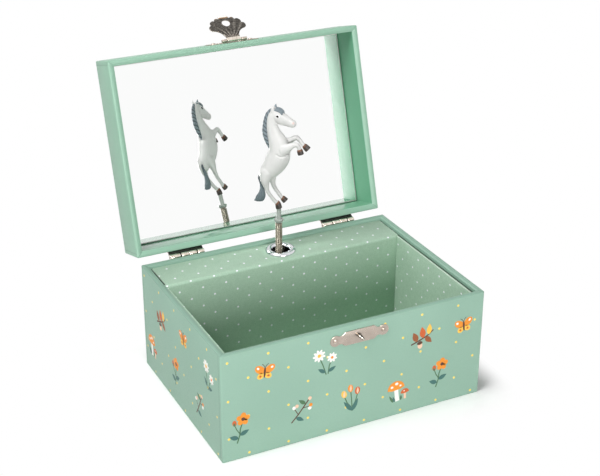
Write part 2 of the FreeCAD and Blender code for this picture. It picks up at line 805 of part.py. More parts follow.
# Bedplate: flat plate on the back wall, with the upper bearing lug and the comb block
def bedplate():
    top = deck_z - bed_below_deck_top
    plate = box(spindle_x - bed_left, spindle_x + bed_right, bed_front, inner_d, top - bed_height, top)
    lug = box(spindle_x - lug_half, spindle_x + lug_half, spindle_y - lug_overhang, bed_front, upper_lug_z,
              upper_lug_z + lug_thickness)
    comb_root = spindle_x - comb_tip() - comb_tooth_length
    block = box(comb_root - comb_body, comb_root, spindle_y + comb_thickness / 2, bed_front, drum_z, drum_top)
    body = fuse([plate, lug, block])
    holes = [rod(cylinder_shaft_radius + running_gap, V(spindle_x, spindle_y, upper_lug_z - cut_reach), AZ,
                 lug_thickness + 2 * cut_reach),
             rod(arbor_boss_radius + running_gap, V(spindle_x, bed_front - cut_reach, barrel_z), AY,
                 bed_thickness + 2 * cut_reach)]
    return cut_all(body, holes + bed_screw_holes() + comb_screw_holes() + governor_screw_holes())


def comb_tip():
    return cylinder_radius + pin_height + comb_tip_gap


def comb_screw_seats():
    x = spindle_x - comb_tip() - comb_tooth_length - comb_body / 2
    return [V(x, spindle_y - comb_thickness / 2, drum_z + cylinder_length * k) for k in comb_screw_shares]


def comb_screw_holes():
    return screw_holes(comb_screw_seats(), AY)


# Comb: one slit between each pair of teeth, the roots stepped from long to short
def comb_parts():
    tip_x = spindle_x - comb_tip()
    root_x = tip_x - comb_tooth_length
    y0, y1 = spindle_y - comb_thickness / 2, spindle_y + comb_thickness / 2
    comb = box(root_x - comb_body, tip_x, y0, y1, drum_z, drum_top)
    pitch = cylinder_length / note_count
    slits = []
    for index in range(1, note_count):
        z = drum_z + index * pitch
        shorten = comb_root_slant * index / note_count
        slits.append(box(root_x + shorten, tip_x + cut_reach, y0 - cut_reach, y1 + cut_reach,
                         z - comb_slit / 2, z + comb_slit / 2))
    comb = cut_all(comb.cut(Part.makeCompound(slits)), comb_screw_holes())
    screws = [screw(s, AY) for s in comb_screw_seats()]
    return {"comb": comb, "comb_screws": Part.makeCompound(screws)}


# Pinned cylinder: each note has its own track, its pins turned on from the last track's
def pinned_cylinder():
    drum = rod(cylinder_radius, V(0, 0, 0), AZ, cylinder_length)
    pitch = cylinder_length / note_count
    pins = []
    for note in range(note_count):
        for index in range(pins_per_note):
            z = (note + 0.5) * pitch - pin_size / 2
            pin = box(cylinder_radius - pin_root, cylinder_radius + pin_height, -pin_size / 2, pin_size / 2,
                      z, z + pin_size)
            pins.append(turned(pin, V(0, 0, 0), AZ, note * note_turn + index * 360.0 / pins_per_note))
    drum = drum.multiFuse(pins)
    drum = drum.cut(rod(cylinder_shaft_radius + seat_gap, V(0, 0, -cut_reach), AZ,
                        cylinder_length + 2 * cut_reach))
    return moved(drum, spindle_x, spindle_y, drum_z)


def cylinder_parts():
    bore = cylinder_shaft_radius + seat_gap
    foot = crown_low_z - cylinder_foot
    hub_z = upper_lug_z + lug_thickness + hub_lift
    arbor = rod(cylinder_shaft_radius, V(0, 0, foot), AZ, hub_z - foot)
    hub = rod(stem_radius, V(0, 0, hub_z), AZ, stem_base - hub_z)
    spigot = rod(stem_radius - stem_wire - running_gap, V(0, 0, stem_base), AZ, spigot_length)
    pinion = spur_gear(pinion_teeth, tooth_module, spindle_x, spindle_y, crown_low_z - mesh_overlap,
                       crown_face + 2 * mesh_overlap, bore, 90.0)
    wheel = spur_gear(wheel_teeth, wheel_module, spindle_x, spindle_y, wheel_z, wheel_thickness, bore, 0.0)
    return {"cylinder_arbor": moved(fuse([arbor, hub, spigot]), spindle_x, spindle_y, 0),
            "cylinder_pinion": pinion, "cylinder_wheel": wheel, "pinned_cylinder": pinned_cylinder()}


# Governor: pinion and worm wheel on one upright arbor, worm and fan on a level shaft
def governor_parts():
    top = worm_z + governor_above_worm
    low = wheel_z - governor_below_wheel
    half_tooth = 180.0 / governor_pinion_teeth
    pinion = spur_gear(governor_pinion_teeth, wheel_module, governor_x, spindle_y, wheel_z - mesh_overlap,
                       wheel_thickness + 2 * mesh_overlap, governor_shaft_radius, half_tooth)
    wheel = spur_gear(worm_wheel_teeth, worm_module, governor_x, spindle_y,
                      worm_z - worm_wheel_thickness / 2, worm_wheel_thickness, governor_shaft_radius, 0.0)
    shaft = rod(governor_shaft_radius, V(governor_x, spindle_y, low - governor_pivot), AZ,
                top - low + 2 * governor_pivot)
    return {"governor_wheel": fuse([shaft, pinion, wheel]), "worm_shaft": worm_shaft(), "fan": fan(),
            "governor_frame": governor_frame(low, top),
            "governor_screws": Part.makeCompound([screw(s, AY) for s in governor_screw_seats()])}


def worm_bearings():
    return spindle_y - bearing_front, spindle_y + bearing_back


# Worm: a thread of triangular section wound round the shaft, one tooth of the wheel a turn
def worm_shaft():
    pitch = math.pi * worm_module
    length = worm_turns * pitch
    core = worm_radius - worm_core_depth
    front, back = worm_bearings()
    helix = Part.makeHelix(pitch, length, core)
    crest, sunk = worm_radius + worm_crest, core - thread_sunk
    half, tip = thread_root_share * pitch, thread_tip_share * pitch
    section = Part.makePolygon([V(sunk, 0, -half), V(crest, 0, -tip), V(crest, 0, tip), V(sunk, 0, half),
                                V(sunk, 0, -half)])
    thread = Part.Wire(helix).makePipeShell([section], True, True)
    thread.translate(V(0, 0, -length / 2))
    thread.rotate(V(0, 0, 0), AX, -90)
    thread = moved(thread, worm_x, spindle_y, worm_z)
    start = front - fan_from_bearing - worm_end
    shaft = rod(worm_shaft_radius, V(worm_x, start, worm_z), AY, back + frame_plate - start)
    body = rod(core, V(worm_x, spindle_y - length / 2 - worm_end, worm_z), AY, length + 2 * worm_end)
    return fuse([shaft, body, thread])


# Fan: two flat vanes on a hub at the front end of the worm shaft
def fan():
    front = worm_bearings()[0] - fan_from_bearing
    hub = ring(fan_hub_radius, worm_shaft_radius + seat_gap, V(worm_x, front, worm_z), AY, fan_length)
    half = vane_thickness / 2
    vanes = []
    for side in (-1, 1):
        root = worm_x + side * (fan_hub_radius - half)
        end = worm_x + side * fan_half
        near, far = min(root, end), max(root, end)
        vanes.append(box(near, far, front, front + fan_length, worm_z - half, worm_z + half))
    return fuse([hub] + vanes)


def governor_frame(low, top):
    front, back = worm_bearings()
    left, right = governor_x - frame_margin, worm_x + frame_end
    half = frame_plate / 2
    bottom, lid = low - frame_plate, top + frame_plate
    floor = box(left, right, front - half, bed_front, bottom, low)
    roof = box(left, right, front - half, bed_front, top, lid)
    cheeks = [box(worm_x - frame_margin, right, y - half, y + half, low, top) for y in (front, back)]
    flange = box(left, right + flange_tab, bed_front - flange_thickness, bed_front, bottom, lid)
    holes = [rod(governor_shaft_radius + running_gap, V(governor_x, spindle_y, bottom), AZ, lid - bottom),
             rod(worm_shaft_radius + running_gap, V(worm_x, front - frame_plate, worm_z), AY,
                 back - front + 2 * frame_plate)]
    return cut_all(fuse([floor, roof, flange] + cheeks), holes + governor_screw_holes())


def governor_screw_seats():
    x = worm_x + flange_screw
    return [V(x, bed_front - flange_thickness, worm_z + rise) for rise in flange_screw_rises]


def governor_screw_holes():
    return screw_holes(governor_screw_seats(), AY)


# A half turn of helix, as two tangent arcs
def tangent_arcs(p0, t0, p1, t1):
    v = p1 - p0
    t = t0 + t1
    spread = 2 * (1 - t0.dot(t1))
    d = (math.sqrt(v.dot(t) ** 2 + spread * v.dot(v)) - v.dot(t)) / spread
    a, b = p0 + t0 * d, p1 - t1 * d
    middle = (a + b) * 0.5
    return [arc_to(p0, a, middle), arc_to(middle, b, p1)]


def arc_to(start, corner, end):
    weight = (end - start).Length / 2 / (corner - start).Length
    halfway = (start + corner * (2 * weight) + end) * (1 / (2 * (1 + weight)))
    return Part.Arc(start, halfway, end).toShape()


def helix_point(radius, pitch, turn):
    angle = 2 * math.pi * turn
    return V(radius * math.cos(angle), radius * math.sin(angle), pitch * turn)


def helix_tangent(radius, pitch, turn):
    angle = 2 * math.pi * turn
    tangent = V(-radius * math.sin(angle), radius * math.cos(angle), pitch / (2 * math.pi))
    return tangent.normalize()


# Spring stem: round wire wound from the spindle's hub up to the figure's collar
def spring_stem():
    radius = stem_radius - stem_wire / 2
    height = deck_z + stem_top - stem_base - stem_wire
    halves = int(2 * height / stem_pitch)
    pitch = 2 * height / halves
    arcs = []
    for half in range(halves):
        a, b = half / 2, (half + 1) / 2
        arcs += tangent_arcs(helix_point(radius, pitch, a), helix_tangent(radius, pitch, a),
                             helix_point(radius, pitch, b), helix_tangent(radius, pitch, b))
    path = Part.Wire(arcs)
    section = wire_section(helix_point(radius, pitch, 0), helix_tangent(radius, pitch, 0), stem_wire / 2)
    wire = path.makePipeShell([section], True, False)
    print("stem turns", halves / 2, "least gap", round(least_gap(radius, pitch), 3))
    return moved(wire, spindle_x, spindle_y, stem_base + stem_wire / 2)


def least_gap(radius, pitch):
    start = helix_point(radius, pitch, 0)
    turns = [0.5 + 0.01 * k for k in range(101)]
    return min((helix_point(radius, pitch, t) - start).Length for t in turns) - stem_wire


# Peg: spigot inside the spring, cone and collar on its end, round peg up to the hoof
def figure_peg():
    stem_end = deck_z + stem_top
    collar_z = stem_end + collar_lift
    spigot = rod(stem_radius - stem_wire - running_gap, V(0, 0, stem_end - spigot_length), AZ, spigot_length)
    cone = Part.makeCone(stem_radius, collar_radius, collar_lift, V(0, 0, stem_end), AZ)
    collar = rod(collar_radius, V(0, 0, collar_z), AZ, collar_height)
    peg = rod(peg_radius, V(0, 0, collar_z + collar_height), AZ, deck_z + peg_top - collar_z - collar_height)
    return moved(fuse([spigot, cone, collar, peg]), spindle_x, spindle_y, 0)


# One limb or body mass: oval sections strung along a bent line. A station holds the forward,
# sideways and upward place of its centre, then its half width in profile and sideways.
def strung(stations):
    wires = []
    for index, station in enumerate(stations):
        before = stations[max(index - 1, 0)]
        after = stations[min(index + 1, len(stations) - 1)]
        along = (V(*after[:3]) - V(*before[:3])).normalize()
        across = V(0, 1, 0)
        profile = across.cross(along).normalize()
        across = along.cross(profile)
        wires.append(oval(V(*station[:3]), profile * station[3], across * station[4]))
    return Part.makeLoft(wires, True, True)


def oval(centre, a, b):
    points = []
    for index in range(figure_sides + 1):
        angle = 2 * math.pi * (index + 0.5) / figure_sides
        points.append(centre + a * math.cos(angle) + b * math.sin(angle))
    return Part.makePolygon(points)


# Rearing horse, above the deck and forward of the stem, standing on its near hind hoof
def horse():
    trunk = [(-9.6, 0, 51.6, 2.9, 2.7), (-8.3, 0, 54.6, 4.9, 4.6), (-4.9, 0, 58.9, 6.5, 5.8),
             (-2.1, 0, 63.0, 7.4, 6.3), (-0.1, 0, 67.2, 7.7, 6.5), (0.8, 0, 71.6, 7.0, 6.3),
             (-0.9, 0, 79.2, 5.8, 4.8), (-2.7, 0, 83.7, 4.6, 3.7), (-4.0, 0, 88.6, 3.7, 2.9),
             (-3.9, 0, 94.0, 3.3, 2.6), (-2.4, 0, 99.6, 1.8, 1.7)]
    head = [(-3.0, 0, 98.6, 2.2, 2.0), (-1.0, 0, 96.4, 4.0, 2.9), (2.0, 0, 93.7, 4.3, 2.9),
            (5.4, 0, 92.2, 3.6, 2.3), (8.0, 0, 90.9, 2.9, 2.1), (10.8, 0, 89.9, 1.8, 1.6)]
    fore_near = [(2.0, 3.0, 73.0, 4.4, 3.3), (6.8, 3.5, 75.3, 2.9, 2.4), (9.8, 3.6, 77.1, 1.9, 1.75),
                 (12.3, 3.5, 77.4, 1.6, 1.5), (13.7, 3.3, 75.7, 1.35, 1.3), (14.3, 3.2, 73.4, 1.95, 1.85),
                 (14.9, 3.2, 71.0, 2.05, 1.95)]
    fore_far = [(2.0, -3.0, 75.2, 4.2, 3.0), (7.1, -3.4, 77.5, 2.2, 2.0), (9.8, -3.6, 79.2, 1.75, 1.6),
                (11.9, -3.5, 79.5, 1.6, 1.5), (14.3, -3.4, 76.9, 1.35, 1.3), (15.9, -3.3, 74.7, 1.4, 1.35),
                (16.9, -3.3, 73.9, 1.95, 1.8), (18.9, -3.3, 71.9, 2.2, 2.0)]
    hind_near = [(-7.2, 2.8, 57.0, 4.6, 3.2), (-8.2, 3.0, 51.6, 3.2, 2.6), (-7.5, 2.4, 46.0, 1.6, 1.6),
                 (-6.7, 2.1, 43.2, 1.3, 1.35), (-4.6, 1.3, 39.4, 1.25, 1.25), (-2.2, 0.4, 36.0, 1.35, 1.3),
                 (-0.6, 0, 34.2, 1.95, 1.85), (0.2, 0, 31.0, 2.15, 2.0)]
    hind_far = [(-5.8, -3.0, 57.0, 4.4, 3.1), (-4.8, -3.1, 52.4, 3.0, 2.5), (-4.2, -3.4, 47.4, 1.7, 1.7),
                (-2.7, -3.4, 43.5, 1.35, 1.4), (-0.6, -3.4, 40.4, 1.25, 1.3), (1.5, -3.4, 37.4, 1.4, 1.35),
                (2.5, -3.4, 36.6, 1.9, 1.8), (4.2, -3.4, 34.9, 2.1, 1.95)]
    tail = [(-11.6, 0, 55.4, 0.9, 0.9), (-12.6, 0, 51.6, 1.0, 0.9), (-11.4, 0, 47.4, 1.1, 1.2),
            (-10.9, 0, 43.4, 1.7, 1.5), (-11.2, 0, 39.6, 2.6, 1.7), (-12.6, 0, 36.7, 2.9, 1.3),
            (-12.9, 0, 35.0, 2.2, 0.7)]
    mane = [(-4.6, 0, 99.6, 0.9, 0.9), (-6.6, 0, 96.3, 1.6, 1.4), (-8.0, 0, 90.6, 1.9, 1.6),
            (-8.4, 0, 84.6, 2.0, 1.6), (-7.4, 0, 78.8, 1.8, 1.4), (-5.4, 0, 72.6, 0.8, 0.7)]
    forelock = [(-2.6, 0, 100.2, 1.1, 1.9), (0.4, 0, 99.9, 1.3, 2.2), (2.8, 0, 98.4, 1.1, 2.0),
                (3.2, 0, 96.6, 0.6, 1.2)]
    ears = [[(-3.5, 1.4, 98.6, 1.2, 0.9), (-3.0, 1.7, 101.2, 1.0, 0.7), (-2.4, 1.9, 103.2, 0.25, 0.25)],
            [(-2.4, -1.4, 98.6, 1.2, 0.9), (-2.0, -1.7, 100.9, 1.0, 0.7), (-1.6, -1.9, 102.9, 0.25, 0.25)]]
    limbs = [trunk, head, fore_near, fore_far, hind_near, hind_far, tail, mane, forelock] + ears
    body = fuse_solids([strung(limb) for limb in limbs])
    # Forward is +X and the near side +Y here; the near side is then turned to face the front
    body = body.mirror(V(0, 0, 0), AY)
    body.rotate(V(0, 0, 0), AZ, figure_heading)
    under_hoof = box(-box_depth, box_depth, -box_depth, box_depth, 0, peg_top)
    return moved(body.cut(under_hoof), spindle_x, spindle_y, deck_z)


def fuse_solids(solids):
    whole = solids[0]
    for solid in solids[1:]:
        whole = whole.fuse(solid)
    return whole


def bedplate_screws():
    return Part.makeCompound([bed_screw(s) for s in bed_screw_seats()])


def bed_screw(seat):
    shank = rod(screw_shank_radius, seat, -AY, wall + bed_thickness - bed_screw_short)
    return shank.fuse(rod(screw_head_radius, seat, AY, screw_head_height))


def all_parts():
    parts = {}
    parts.update(box_panels())
    parts["deck_and_partition"] = deck_card()
    parts.update(lining())
    parts.update(grommet())
    parts.update(hinge_parts())
    parts.update(catch_parts())
    parts.update(lid_parts())
    parts.update(hasp_parts())
    parts["bedplate"] = bedplate()
    parts["bedplate_screws"] = bedplate_screws()
    parts.update(bridge_parts())
    parts["spring_barrel"] = spring_barrel()
    parts["barrel_cover"] = barrel_cover()
    parts["mainspring"] = mainspring()
    parts.update(winding_parts())
    parts.update(cylinder_parts())
    parts.update(comb_parts())
    parts.update(governor_parts())
    parts["spring_stem"] = spring_stem()
    parts["figure_peg"] = figure_peg()
    parts["horse_figure"] = horse()
    return parts


os.makedirs("parts", exist_ok=True)
for name, shape in all_parts().items():
    print(name, len(shape.Solids), shape.isValid(), round(shape.Volume, 2))
    shape.exportStep("parts/" + name + ".step")
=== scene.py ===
import json
import math
import bmesh
import bpy
from mathutils import Matrix, Vector, noise


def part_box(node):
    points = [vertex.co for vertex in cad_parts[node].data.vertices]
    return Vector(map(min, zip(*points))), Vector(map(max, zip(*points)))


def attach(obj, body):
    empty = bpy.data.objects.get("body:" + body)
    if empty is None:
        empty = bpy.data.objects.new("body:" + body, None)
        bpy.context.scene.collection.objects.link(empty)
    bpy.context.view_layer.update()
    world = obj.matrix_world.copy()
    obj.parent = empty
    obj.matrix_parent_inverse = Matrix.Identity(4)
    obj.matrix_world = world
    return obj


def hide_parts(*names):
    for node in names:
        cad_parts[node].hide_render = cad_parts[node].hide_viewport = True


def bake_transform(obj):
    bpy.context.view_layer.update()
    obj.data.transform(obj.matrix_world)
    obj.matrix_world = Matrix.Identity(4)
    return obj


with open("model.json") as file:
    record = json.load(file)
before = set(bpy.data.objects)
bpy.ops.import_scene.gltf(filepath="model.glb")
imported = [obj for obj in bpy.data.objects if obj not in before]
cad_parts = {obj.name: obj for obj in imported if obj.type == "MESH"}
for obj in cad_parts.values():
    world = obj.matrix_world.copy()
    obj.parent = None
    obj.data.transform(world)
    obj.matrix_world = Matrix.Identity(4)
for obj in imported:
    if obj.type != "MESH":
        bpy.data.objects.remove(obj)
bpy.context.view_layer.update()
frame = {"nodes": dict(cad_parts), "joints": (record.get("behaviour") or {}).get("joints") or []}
scene = bpy.context.scene
mm = 0.001


# Small helpers for nodes and colours

def paint(red, green, blue):
    # a colour as seen on screen, 0 to 255, in Blender's linear light
    def linear(value):
        share = value / 255
        return share / 12.92 if share <= 0.04045 else ((share + 0.055) / 1.055) ** 2.4
    return (linear(red), linear(green), linear(blue), 1.0)


def addNode(tree, kind, feeds=None, **settings):
    node = tree.nodes.new(kind)
    for name, value in settings.items():
        setattr(node, name, value)
    for socket, value in (feeds or {}).items():
        if isinstance(value, bpy.types.NodeSocket):
            tree.links.new(value, node.inputs[socket])
        else:
            node.inputs[socket].default_value = value
    return node


def mixColour(tree, share, first, second, blend="MIX"):
    feeds = {0: share, 6: first, 7: second}
    return addNode(tree, "ShaderNodeMix", feeds, data_type="RGBA", blend_type=blend).outputs[2]


def sums(tree, operation, first, second):
    return addNode(tree, "ShaderNodeMath", {0: first, 1: second}, operation=operation).outputs[0]


def vectors(tree, operation, *values):
    node = addNode(tree, "ShaderNodeVectorMath", dict(enumerate(values)), operation=operation)
    return node.outputs["Value" if operation in ("DOT_PRODUCT", "LENGTH", "DISTANCE") else "Vector"]


def remap(tree, value, fromLow, fromHigh, toLow, toHigh, smooth=False):
    feeds = {0: value, 1: fromLow, 2: fromHigh, 3: toLow, 4: toHigh}
    kind = "SMOOTHSTEP" if smooth else "LINEAR"
    return addNode(tree, "ShaderNodeMapRange", feeds, interpolation_type=kind).outputs[0]


def objectPlace(tree):
    return addNode(tree, "ShaderNodeTexCoord").outputs["Object"]


def grain(tree, place, size, detail=2.0):
    # soft noise whose lumps are about size across
    feeds = {"Vector": place, "Scale": 1 / size, "Detail": detail}
    return addNode(tree, "ShaderNodeTexNoise", feeds).outputs[0]


def newFinish(name, settings):
    material = bpy.data.materials.new(name)
    material.use_nodes = True
    shader = material.node_tree.nodes["Principled BSDF"]
    for socket, value in settings.items():
        shader.inputs[socket].default_value = value
    return material, material.node_tree, shader


def raiseBump(tree, shader, height, depth):
    bump = addNode(tree, "ShaderNodeBump", {"Height": height, "Distance": depth})
    tree.links.new(bump.outputs["Normal"], shader.inputs["Normal"])
    return bump.outputs["Normal"]


# Finishes

# printed dots of each paper: distance across and along in mm, and where the first one lies
dotPitch = {"cover": (13.03, 13.05), "partition": (8.05, 6.68), "liner": (6.625, 8.35)}
firstDot = {"front": (-33.4, 68.1), "side": (59.5, 68.2), "partition": (-35.4, 58.2), "liner": (18.2, 65.6)}


def dotShare(tree, pitch, radius, soft):
    # 1 inside the dots of a staggered print; the piece's paper map counts diagonal rows of dots
    place = addNode(tree, "ShaderNodeUVMap", uv_map="paper").outputs[0]
    across, along = (size * mm for size in pitch)
    near = vectors(tree, "WRAP", place, (0.5, 0.5, 0.5), (-0.5, -0.5, -0.5))
    offsetX = vectors(tree, "DOT_PRODUCT", near, (across, across, 0))
    offsetY = vectors(tree, "DOT_PRODUCT", near, (along, -along, 0))
    offset = addNode(tree, "ShaderNodeCombineXYZ", {0: offsetX, 1: offsetY}).outputs[0]
    away = vectors(tree, "LENGTH", offset)
    return remap(tree, away, radius - soft, radius + soft, 1.0, 0.0, True)


coverPaper = {
    "colour": paint(148, 182, 164), "shade": paint(136, 170, 152), "dot": paint(252, 222, 104),
    "dotRadius": 0.8 * mm, "dotSoft": 0.14 * mm,
    "cloud": 40 * mm, "fibre": 0.55 * mm, "fibreDepth": 0.012 * mm,
    "ripple": 14 * mm, "rippleStretch": (1.0, 2.2, 2.2), "plainCoat": (0.12, 1.5), "wavyCoat": (0.04, 1.9),
    # the inner, rim and edge tones are shaded and lit copies of the one cover paper: the lid's inner rails
    # and the box rim darker as painted shade, the lid rim lighter as painted light
    "shadedInnerTone": (paint(97, 155, 124), paint(88, 146, 115)),
    # darker paper for fold and seam lines: painted shade standing in for their shadow lines
    "edgeShadowTone": (paint(126, 160, 142), paint(114, 148, 130)),
    "litRimTone": (paint(147, 186, 164), paint(138, 177, 155)),
    # the wall behind the lining: painted dark as the shade in that gap
    "wallShadeTone": (paint(96, 118, 104), paint(80, 100, 88)),
    "shadedRimTone": (paint(138, 172, 154), paint(128, 162, 144))}


def paperFinish(name, printed=False, gloss=0.0, wave=0.0, tone=None):
    plain, shade = tone or (coverPaper["colour"], coverPaper["shade"])
    coatRoughness, coatBend = coverPaper["wavyCoat" if wave else "plainCoat"]
    settings = {"Roughness": 0.5, "Specular IOR Level": 0.3, "Coat Weight": gloss,
                "Coat Roughness": coatRoughness, "Coat IOR": coatBend}
    material, tree, shader = newFinish(name, settings)
    place = objectPlace(tree)
    cloud = remap(tree, grain(tree, place, coverPaper["cloud"]), 0.35, 0.65, 0.0, 0.35)
    fibre = grain(tree, place, coverPaper["fibre"], 4.0)
    colour = mixColour(tree, cloud, plain, shade)
    colour = mixColour(tree, remap(tree, fibre, 0.3, 0.75, 0.0, 0.4), colour, shade)
    if printed:
        dots = dotShare(tree, dotPitch["cover"], coverPaper["dotRadius"], coverPaper["dotSoft"])
        colour = mixColour(tree, dots, colour, coverPaper["dot"])
    tree.links.new(colour, shader.inputs["Base Color"])
    tree.links.new(remap(tree, fibre, 0.3, 0.7, 0.42, 0.6), shader.inputs["Roughness"])
    height = sums(tree, "MULTIPLY", fibre, coverPaper["fibreDepth"] / mm)
    if wave:
        ripple = addNode(tree, "ShaderNodeMapping", {"Vector": place, "Scale": coverPaper["rippleStretch"]})
        slow = grain(tree, ripple.outputs[0], coverPaper["ripple"], 1.0)
        height = sums(tree, "ADD", height, sums(tree, "MULTIPLY", slow, wave / mm))
    bump = raiseBump(tree, shader, height, mm)
    if wave:
        tree.links.new(bump, shader.inputs["Coat Normal"])
    return material


liningCard = {
    "colour": paint(181, 206, 186), "speck": paint(150, 183, 158), "dot": paint(248, 246, 253),
    "dotRadius": 0.7 * mm, "dotSoft": 0.16 * mm, "felt": 0.6 * mm, "patch": 2.6 * mm, "feltDepth": 0.09 * mm}


def liningFinish(name, pitch):
    settings = {"Roughness": 0.85, "Specular IOR Level": 0.2, "Sheen Weight": 0.12, "Sheen Roughness": 0.5}
    material, tree, shader = newFinish(name, settings)
    place = objectPlace(tree)
    felt = grain(tree, place, liningCard["felt"], 3.0)
    patch = grain(tree, place, liningCard["patch"])
    colour = mixColour(tree, remap(tree, felt, 0.3, 0.7, 0.0, 0.75), liningCard["colour"],
                       liningCard["speck"])
    colour = mixColour(tree, remap(tree, patch, 0.35, 0.7, 0.0, 0.3), colour, liningCard["speck"])
    dots = dotShare(tree, pitch, liningCard["dotRadius"], liningCard["dotSoft"])
    colour = mixColour(tree, dots, colour, liningCard["dot"])
    tree.links.new(colour, shader.inputs["Base Color"])
    raiseBump(tree, shader, felt, liningCard["feltDepth"])
    return material


cardEdge = {"pale": paint(200, 216, 202), "dark": paint(168, 190, 171), "layering": (1.0, 1.0, 6.0),
            "fibre": 0.5 * mm, "fibreDepth": 0.05 * mm}


def cardEdgeFinish():
    material, tree, shader = newFinish("card edge", {"Roughness": 0.85})
    layers = addNode(tree, "ShaderNodeMapping", {"Vector": objectPlace(tree), "Scale": cardEdge["layering"]})
    fibre = grain(tree, layers.outputs[0], cardEdge["fibre"], 4.0)
    colour = mixColour(tree, remap(tree, fibre, 0.3, 0.7, 0.0, 1.0), cardEdge["pale"], cardEdge["dark"])
    tree.links.new(colour, shader.inputs["Base Color"])
    raiseBump(tree, shader, fibre, cardEdge["fibreDepth"])
    return material


greyBoard = {"pale": paint(168, 160, 146), "dark": paint(128, 122, 112), "fibre": 0.9 * mm,
             "fibreDepth": 0.08 * mm}


def boardFinish():
    material, tree, shader = newFinish("grey board", {"Roughness": 0.9})
    place = objectPlace(tree)
    fibre = grain(tree, place, greyBoard["fibre"], 5.0)
    colour = mixColour(tree, fibre, greyBoard["pale"], greyBoard["dark"])
    tree.links.new(colour, shader.inputs["Base Color"])
    raiseBump(tree, shader, fibre, greyBoard["fibreDepth"])
    return material


platedMetal = {"drawnOut": (0.15, 1.0, 1.0), "scratchSize": 0.12 * mm, "dulling": 1.6,
               "scratchRoughness": (-0.03, 0.05)}


def metalFinish(name, bright, dull, roughness, scratch=0.02, smear=3.0):
    # plated metal: cloudy tarnish, fine scratches and a roughness that wanders with both
    material, tree, shader = newFinish(name, {"Metallic": 1.0})
    place = objectPlace(tree)
    tarnish = remap(tree, grain(tree, place, smear * mm, 4.0), 0.35, 0.7, 0.0, 1.0)
    drawn = addNode(tree, "ShaderNodeMapping", {"Vector": place, "Scale": platedMetal["drawnOut"]})
    lines = grain(tree, drawn.outputs[0], platedMetal["scratchSize"], 2.0)
    colour = mixColour(tree, tarnish, bright, dull)
    tree.links.new(colour, shader.inputs["Base Color"])
    rough = sums(tree, "ADD", remap(tree, tarnish, 0.0, 1.0, roughness, roughness * platedMetal["dulling"]),
                 remap(tree, lines, 0.3, 0.7, *platedMetal["scratchRoughness"]))
    tree.links.new(rough, shader.inputs["Roughness"])
    raiseBump(tree, shader, lines, scratch * mm)
    return material


mouldedPlastic = {"cloud": 5 * mm, "cloudRoughness": 0.12, "peel": 0.6 * mm, "peelDepth": 0.012 * mm,
                  "glowRadius": (0.6, 0.6, 0.6), "glowDepth": 0.8 * mm}


def mouldedFinish(name, colour, shade, roughness, coat=0.0, glow=0.0):
    # moulded plastic: a faint cloud in the colour and a slight orange peel
    settings = {"Specular IOR Level": 0.45, "Coat Weight": coat, "Coat Roughness": 0.15,
                "Subsurface Weight": glow, "Subsurface Radius": mouldedPlastic["glowRadius"],
                "Subsurface Scale": mouldedPlastic["glowDepth"]}
    material, tree, shader = newFinish(name, settings)
    place = objectPlace(tree)
    cloud = grain(tree, place, mouldedPlastic["cloud"], 3.0)
    peel = grain(tree, place, mouldedPlastic["peel"], 1.0)
    mixed = mixColour(tree, remap(tree, cloud, 0.35, 0.7, 0.0, 1.0), colour, shade)
    tree.links.new(mixed, shader.inputs["Base Color"])
    rough = remap(tree, cloud, 0.3, 0.7, roughness, roughness + mouldedPlastic["cloudRoughness"])
    tree.links.new(rough, shader.inputs["Roughness"])
    raiseBump(tree, shader, peel, mouldedPlastic["peelDepth"])
    return material


def tintedFinish(name, attribute, roughness, fleck, fleckSize):
    # painted or printed: the colour comes from the piece's own colour attribute
    material, tree, shader = newFinish(name, {"Specular IOR Level": 0.35})
    colour = addNode(tree, "ShaderNodeAttribute", attribute_name=attribute).outputs["Color"]
    spots = grain(tree, objectPlace(tree), fleckSize, 3.0)
    worn = mixColour(tree, remap(tree, spots, 0.4, 0.75, 0.0, fleck), colour, (0.5, 0.5, 0.5, 1.0),
                     "MULTIPLY")
    tree.links.new(worn, shader.inputs["Base Color"])
    tree.links.new(remap(tree, spots, 0.3, 0.7, roughness - 0.08, roughness + 0.08),
                   shader.inputs["Roughness"])
    raiseBump(tree, shader, spots, 0.01 * mm)
    return material


mirrorGlass = {"clear": (0.97, 0.975, 0.97, 1), "hazy": (0.95, 0.955, 0.95, 1), "haze": 60 * mm,
               "hazeRoughness": 0.015}


def mirrorFinish():
    material, tree, shader = newFinish("silvered glass", {"Metallic": 1.0, "Specular IOR Level": 0.5})
    haze = grain(tree, objectPlace(tree), mirrorGlass["haze"], 2.0)
    colour = mixColour(tree, haze, mirrorGlass["clear"], mirrorGlass["hazy"])
    tree.links.new(colour, shader.inputs["Base Color"])
    rough = remap(tree, haze, 0.3, 0.7, 0.0, mirrorGlass["hazeRoughness"])
    tree.links.new(rough, shader.inputs["Roughness"])
    return material


